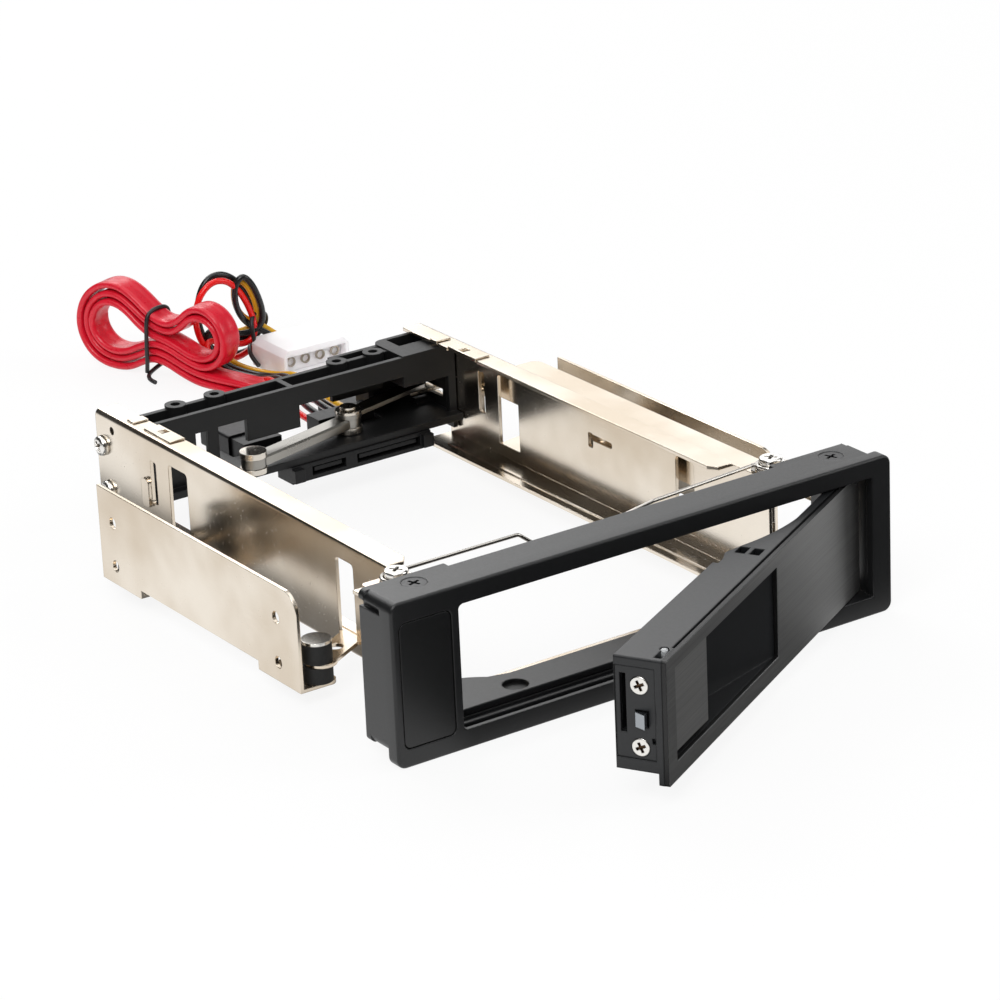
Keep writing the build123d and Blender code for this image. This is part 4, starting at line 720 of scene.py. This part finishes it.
sheet_nickel = nickel("satin nickel sheet", (0.64, 0.54, 0.42), (0.92, 0.85, 0.75), 0.16)
rail_side = 52.3 * mm
rail_edges = (34.8 * mm, 5.5 * mm)
rail_bend = 1.4
same_place = 0.02 * mm
sheet_ease = 0.12


def on_rail_bend(place):
    """Whether a place is on the outer corner of a rail, where its web turns into a flange."""
    from_edge = min(abs(place.z - edge) for edge in rail_edges)
    return abs(abs(place.x) - rail_side) < same_place and from_edge < same_place


for rail in ("left_inner_rail", "right_inner_rail"):
    eased(rail, sheet_nickel, sheet_ease, [(rail_bend, on_rail_bend)])
for bracket in ("left_outer_bracket", "right_outer_bracket", "left_bezel_strap", "right_bezel_strap"):
    eased(bracket, sheet_nickel, sheet_ease)
for plate in ("front_cross_tie", "push_rod"):
    eased(plate, sheet_nickel, sheet_ease)
bright_nickel = nickel("bright nickel", (0.62, 0.57, 0.50), (0.80, 0.76, 0.69), 0.18)
coat(
    bright_nickel,
    "lever_hub", "lever_roller", "lever_pivot_pin", "rod_guides", "hinge_pin", "door_crank_pin",
)
# The lever bars share the hub's plating, but take a darker copy of the nickel: painted shade for the darker
# reflections they show
lever_nickel = nickel("lever nickel", (0.26, 0.25, 0.23), (0.46, 0.44, 0.40), 0.24)
coat(lever_nickel, "lever_left_bar", "lever_right_bar")
screw_nickel = nickel("screw nickel", (0.70, 0.68, 0.64), (0.88, 0.86, 0.82), 0.16)
coat(screw_nickel, "corner_nuts", "damper_studs")
spring_steel = nickel("spring steel wire", (0.42, 0.40, 0.37), (0.66, 0.63, 0.59), 0.12)
coat(spring_steel, "left_wire_spring", "right_wire_spring")
zinc = nickel("zinc latch bolt", (0.30, 0.32, 0.34), (0.46, 0.49, 0.52), 0.22)
coat(zinc, "latch_bolt")


# Cross-head screws: turned nickel-plated heads with painted shade in the recess. The corner screws stand up
# through the wire springs, the rail screws stand on the rails' outer sides, and the end screws lie
# flush in the door's end plate.
headed = nickel("cross-head nickel", (0.74, 0.72, 0.68), (0.93, 0.91, 0.88), 0.16)
# Painted shade: the deeper a place lies in the recess, the nearer its colour comes to dark brown
painted_recess_shade = headed.node("ShaderNodeAttribute", {"attribute_name": "recess"}, {}, "Fac")
head_tone_with_painted_shade = headed.blend(painted_recess_shade, (0.86, 0.84, 0.80), (0.060, 0.036, 0.020))
headed.fill(headed.shader, {"Base Color": head_tone_with_painted_shade})


def edges_between(parts, verts):
    """The edges among some parts of a shape that lie wholly between some of its corners."""
    return [
        part for part in parts
        if isinstance(part, bmesh.types.BMEdge) and set(part.verts) <= set(verts)
    ]


def cross_head(radius, rim, tall, shank_radius, shank_long):
    """A screw on its own axis with its top at height 0: cross recess, rounded rim, side and shank."""
    shape = bmesh.new()
    recess = shape.verts.layers.float.new("recess")
    bmesh.ops.create_circle(shape, cap_ends=False, segments=32, radius=(radius - rim) * mm)
    ring = list(shape.edges)
    arm_long, arm_wide, arm_deep = radius * 0.56, radius * 0.15, radius * 0.4
    quarter = ((arm_long, -arm_wide, 0), (arm_long, arm_wide, 0), (arm_wide, arm_wide, 0))
    corners = [
        shape.verts.new(Matrix.Rotation(math.radians(90 * turn + 38), 3, "Z") @ Vector(spot) * mm)
        for turn in range(4)
        for spot in quarter
    ]
    mouth = [shape.edges.new(pair) for pair in zip(corners, corners[1:] + corners[:1])]
    bmesh.ops.triangle_fill(shape, use_beauty=True, edges=ring + mouth)
    walls = bmesh.ops.extrude_edge_only(shape, edges=mouth)["geom"]
    deep = [part for part in walls if isinstance(part, bmesh.types.BMVert)]
    for vert in deep:
        vert[recess] = 1.0
    bmesh.ops.scale(shape, vec=(0.7, 0.7, 1), verts=deep)
    bmesh.ops.translate(shape, vec=(0, 0, -arm_deep * mm), verts=deep)
    bmesh.ops.contextual_create(shape, geom=edges_between(walls, deep))
    flat_faces = set(shape.faces)
    reach, drop = radius - rim, 0.0
    turned = [(radius - 0.29 * rim, 0.29 * rim), (radius, rim), (radius, tall), (shank_radius, tall)]
    for next_reach, next_drop in turned + [(shank_radius, tall + shank_long)]:
        grown = bmesh.ops.extrude_edge_only(shape, edges=ring)["geom"]
        outer = [part for part in grown if isinstance(part, bmesh.types.BMVert)]
        ring = edges_between(grown, outer)
        bmesh.ops.scale(shape, vec=(next_reach / reach, next_reach / reach, 1), verts=outer)
        bmesh.ops.translate(shape, vec=(0, 0, (drop - next_drop) * mm), verts=outer)
        reach, drop = next_reach, next_drop
    bmesh.ops.contextual_create(shape, geom=ring)
    bmesh.ops.recalc_face_normals(shape, faces=shape.faces)
    for face in shape.faces:
        face.smooth = face not in flat_faces and abs(face.normal.z) < 0.9
    return shape


def standing(shape, top, upward):
    """The shape with its axis turned to a direction and its top put in its place."""
    turn = Vector((0, 0, 1)).rotation_difference(Vector(upward)).to_matrix().to_4x4()
    bmesh.ops.transform(shape, matrix=Matrix.Translation(top) @ turn, verts=shape.verts)
    return shape


def screws(name, node, finish, size, tops, upward):
    """A set of equal cross-head screws in place of one node of the frame."""
    together = bmesh.new()
    for top in tops:
        head = standing(cross_head(**size), top, upward)
        loose = bpy.data.meshes.new("loose head")
        head.to_mesh(loose)
        head.free()
        together.from_mesh(loose)
        bpy.data.meshes.remove(loose)
    shown(name, together, finish, "cage", node)


corner_size = {"radius": 3.0, "rim": 0.5, "tall": 3.6, "shank_radius": 1.5, "shank_long": 3.8}
corner_tops = [at(side * 56.2, 25.2, 38.4) for side in (-1, 1)]
screws("corner_cross_screws", "corner_screws", headed, corner_size, corner_tops, (0, 0, 1))
rail_size = {"radius": 2.75, "rim": 0.9, "tall": 1.7, "shank_radius": 1.45, "shank_long": 6.0}
rail_tops = ((174.0, 25.5), (172.2, 13.3))
rail_heads_out = 54.0
for side, word in ((-1, "left"), (1, "right")):
    outer_tops = [at(side * rail_heads_out, depth, up) for depth, up in rail_tops]
    screws(word + "_rail_cross_screws", word + "_rail_screws", headed, rail_size, outer_tops, (side, 0, 0))

# The end screws keep the frame's own shape, and only learn how deep each place lies in its recess, for the
# painted shade
end_heads = merged("door_end_screws")
recess_layer = end_heads.verts.layers.float.new("recess")
end_outward = Vector((-math.cos(door_yaw), -math.sin(door_yaw), 0))
end_face = max(vert.co.dot(end_outward) for vert in end_heads.verts)
for vert in end_heads.verts:
    vert[recess_layer] = min(1.0, max(0.0, (end_face - vert.co.dot(end_outward)) / (0.5 * mm)))
end_screws = shown("door_end_cross_screws", end_heads, headed, "door", "door_end_screws")

rubber = Finish("black rubber", Specular_IOR_Level=0.3)
rubber.fill(rubber.shader, {
    "Base Color": rubber.blend(rubber.noise(400.0), (0.012, 0.012, 0.012), (0.024, 0.024, 0.024)),
    "Roughness": 0.55 + 0.2 * rubber.noise(1500.0),
})
rubber.relief(rubber.noise(2200.0), 0.00004, 0.0004)
coat(rubber, "left_front_damper", "left_rear_damper", "right_front_damper", "right_rear_damper")


# Studio: a white floor under a white surround, with one broad lamp above and to the left, a softer
# one on the right and a strip behind. Only what shines sees a low screen at the right of the back, a
# white sheet overhead, and a floor that is dark in front and far away, with a painted shadow under
# the brackets.
dark_level = 0.04
front_edge = (bezel_face - 0.015, bezel_face + 0.010)
left_edge = (-0.062, -0.042)
bracket_inner_edge = (0.048, 0.056)
bracket_outer_edge = (0.070, 0.076)
bracket_front_edge = (bezel_face + 0.030, bezel_face + 0.050)
bracket_shade = 0.85
far_edge = (0.24, 0.50)
seen_share = 0.88
mirrored_share = 0.97
floor = bpy.data.objects.new("floor", bpy.data.meshes.new("floor"))
bpy.context.scene.collection.objects.link(floor)
floor_shape = bmesh.new()
bmesh.ops.create_grid(floor_shape, x_segments=1, y_segments=1, size=4.0)
floor_shape.to_mesh(floor.data)
floor_shape.free()
paper = Finish("white floor", Base_Color=(0.9, 0.9, 0.9), Roughness=0.9, Specular_IOR_Level=0.0)
paper_seen = paper.node("ShaderNodeLightPath", {}, {}, "Is Camera Ray")
paper_mirrored = paper.node("ShaderNodeLightPath", {}, {}, "Is Glossy Ray")
behind_card = paper.split(paper.place(), "Y").step(*front_edge)
beside_card = 1 - paper.split(paper.place(), "X").step(*left_edge)
from_middle = paper.node("ShaderNodeMath", {"operation": "ABSOLUTE"}, {0: paper.split(paper.place(), "X")})
# Painted shadow: the floor's strips under the brackets are darkened in what shines
under_side = from_middle.step(*bracket_inner_edge) * (1 - from_middle.step(*bracket_outer_edge))
side_shade = under_side * paper.split(paper.place(), "Y").step(*bracket_front_edge)
from_part = paper.node("ShaderNodeVectorMath", {"operation": "LENGTH"}, {0: paper.place()}, "Value")
far_dark = 1 - from_part.step(*far_edge)
uncarded = paper.joined("MAXIMUM", behind_card, beside_card)
paper_bright = dark_level + (1 - dark_level) * uncarded * (1 - bracket_shade * side_shade) * far_dark
paper_glow = paper.node(
    "ShaderNodeEmission", {}, {"Color": (1, 1, 1), "Strength": paper_seen + paper_mirrored * paper_bright}
)
paper_lit = Wire(paper, paper.shader.outputs[0])
paper_share = seen_share * paper_seen + mirrored_share * paper_mirrored
paper_mix = paper.node("ShaderNodeMixShader", {}, {0: paper_share, 1: paper_lit, 2: paper_glow})
paper.fill(paper.tree.nodes["Material Output"], {"Surface": paper_mix})
floor.data.materials.append(paper.material)

screen_left_edge = (0.05, 0.45)
screen_front_edge = (0.0, 0.4)
screen_top_edge = (0.42, 0.55)
sheet_edge = (0.68, 0.85)
screen_level = 1.4
room_level = 0.55
world = bpy.data.worlds.new("studio")
bpy.context.scene.world = world
world.use_nodes = True
surround = Nodes(world.node_tree)
heading = surround.node("ShaderNodeTexCoord", {}, {}, "Generated")
heading_up = surround.split(heading, "Z")
right_of_back = surround.split(heading, "X").step(*screen_left_edge)
right_of_back = right_of_back * surround.split(heading, "Y").step(*screen_front_edge)
screen = right_of_back * (1 - heading_up.step(*screen_top_edge))
sheet_overhead = heading_up.step(*sheet_edge)
mirrored_level = dark_level + screen_level * surround.joined("MAXIMUM", screen, sheet_overhead)
seen_plain = surround.joined(
    "MAXIMUM",
    surround.node("ShaderNodeLightPath", {}, {}, "Is Camera Ray"),
    surround.node("ShaderNodeLightPath", {}, {}, "Is Transmission Ray"),
)
seen_mirrored = surround.node("ShaderNodeLightPath", {}, {}, "Is Glossy Ray")
surround.fill(world.node_tree.nodes["Background"], {
    "Color": (1, 1, 1),
    "Strength": room_level + seen_plain * (1 - room_level) + seen_mirrored * (mirrored_level - room_level),
})


def lamp(name, place, power, width, height):
    """A soft rectangular lamp that points at the part's middle. Metres and watts."""
    light = bpy.data.lights.new(name, "AREA")
    light.shape = "RECTANGLE"
    light.size = width
    light.size_y = height
    light.energy = power
    made = bpy.data.objects.new(name, light)
    bpy.context.scene.collection.objects.link(made)
    made.location = Vector(place)
    made.rotation_euler = (-Vector(place)).to_track_quat("-Z", "Y").to_euler()


lamp("key", place=(-0.9, -0.7, 1.3), power=14.0, width=0.9, height=0.9)
lamp("fill", place=(1.2, -0.9, 0.8), power=6.0, width=0.8, height=0.8)
lamp("back", place=(0.2, 1.3, 1.0), power=8.0, width=1.2, height=0.5)

bpy.context.scene.view_settings.view_transform = "Standard"
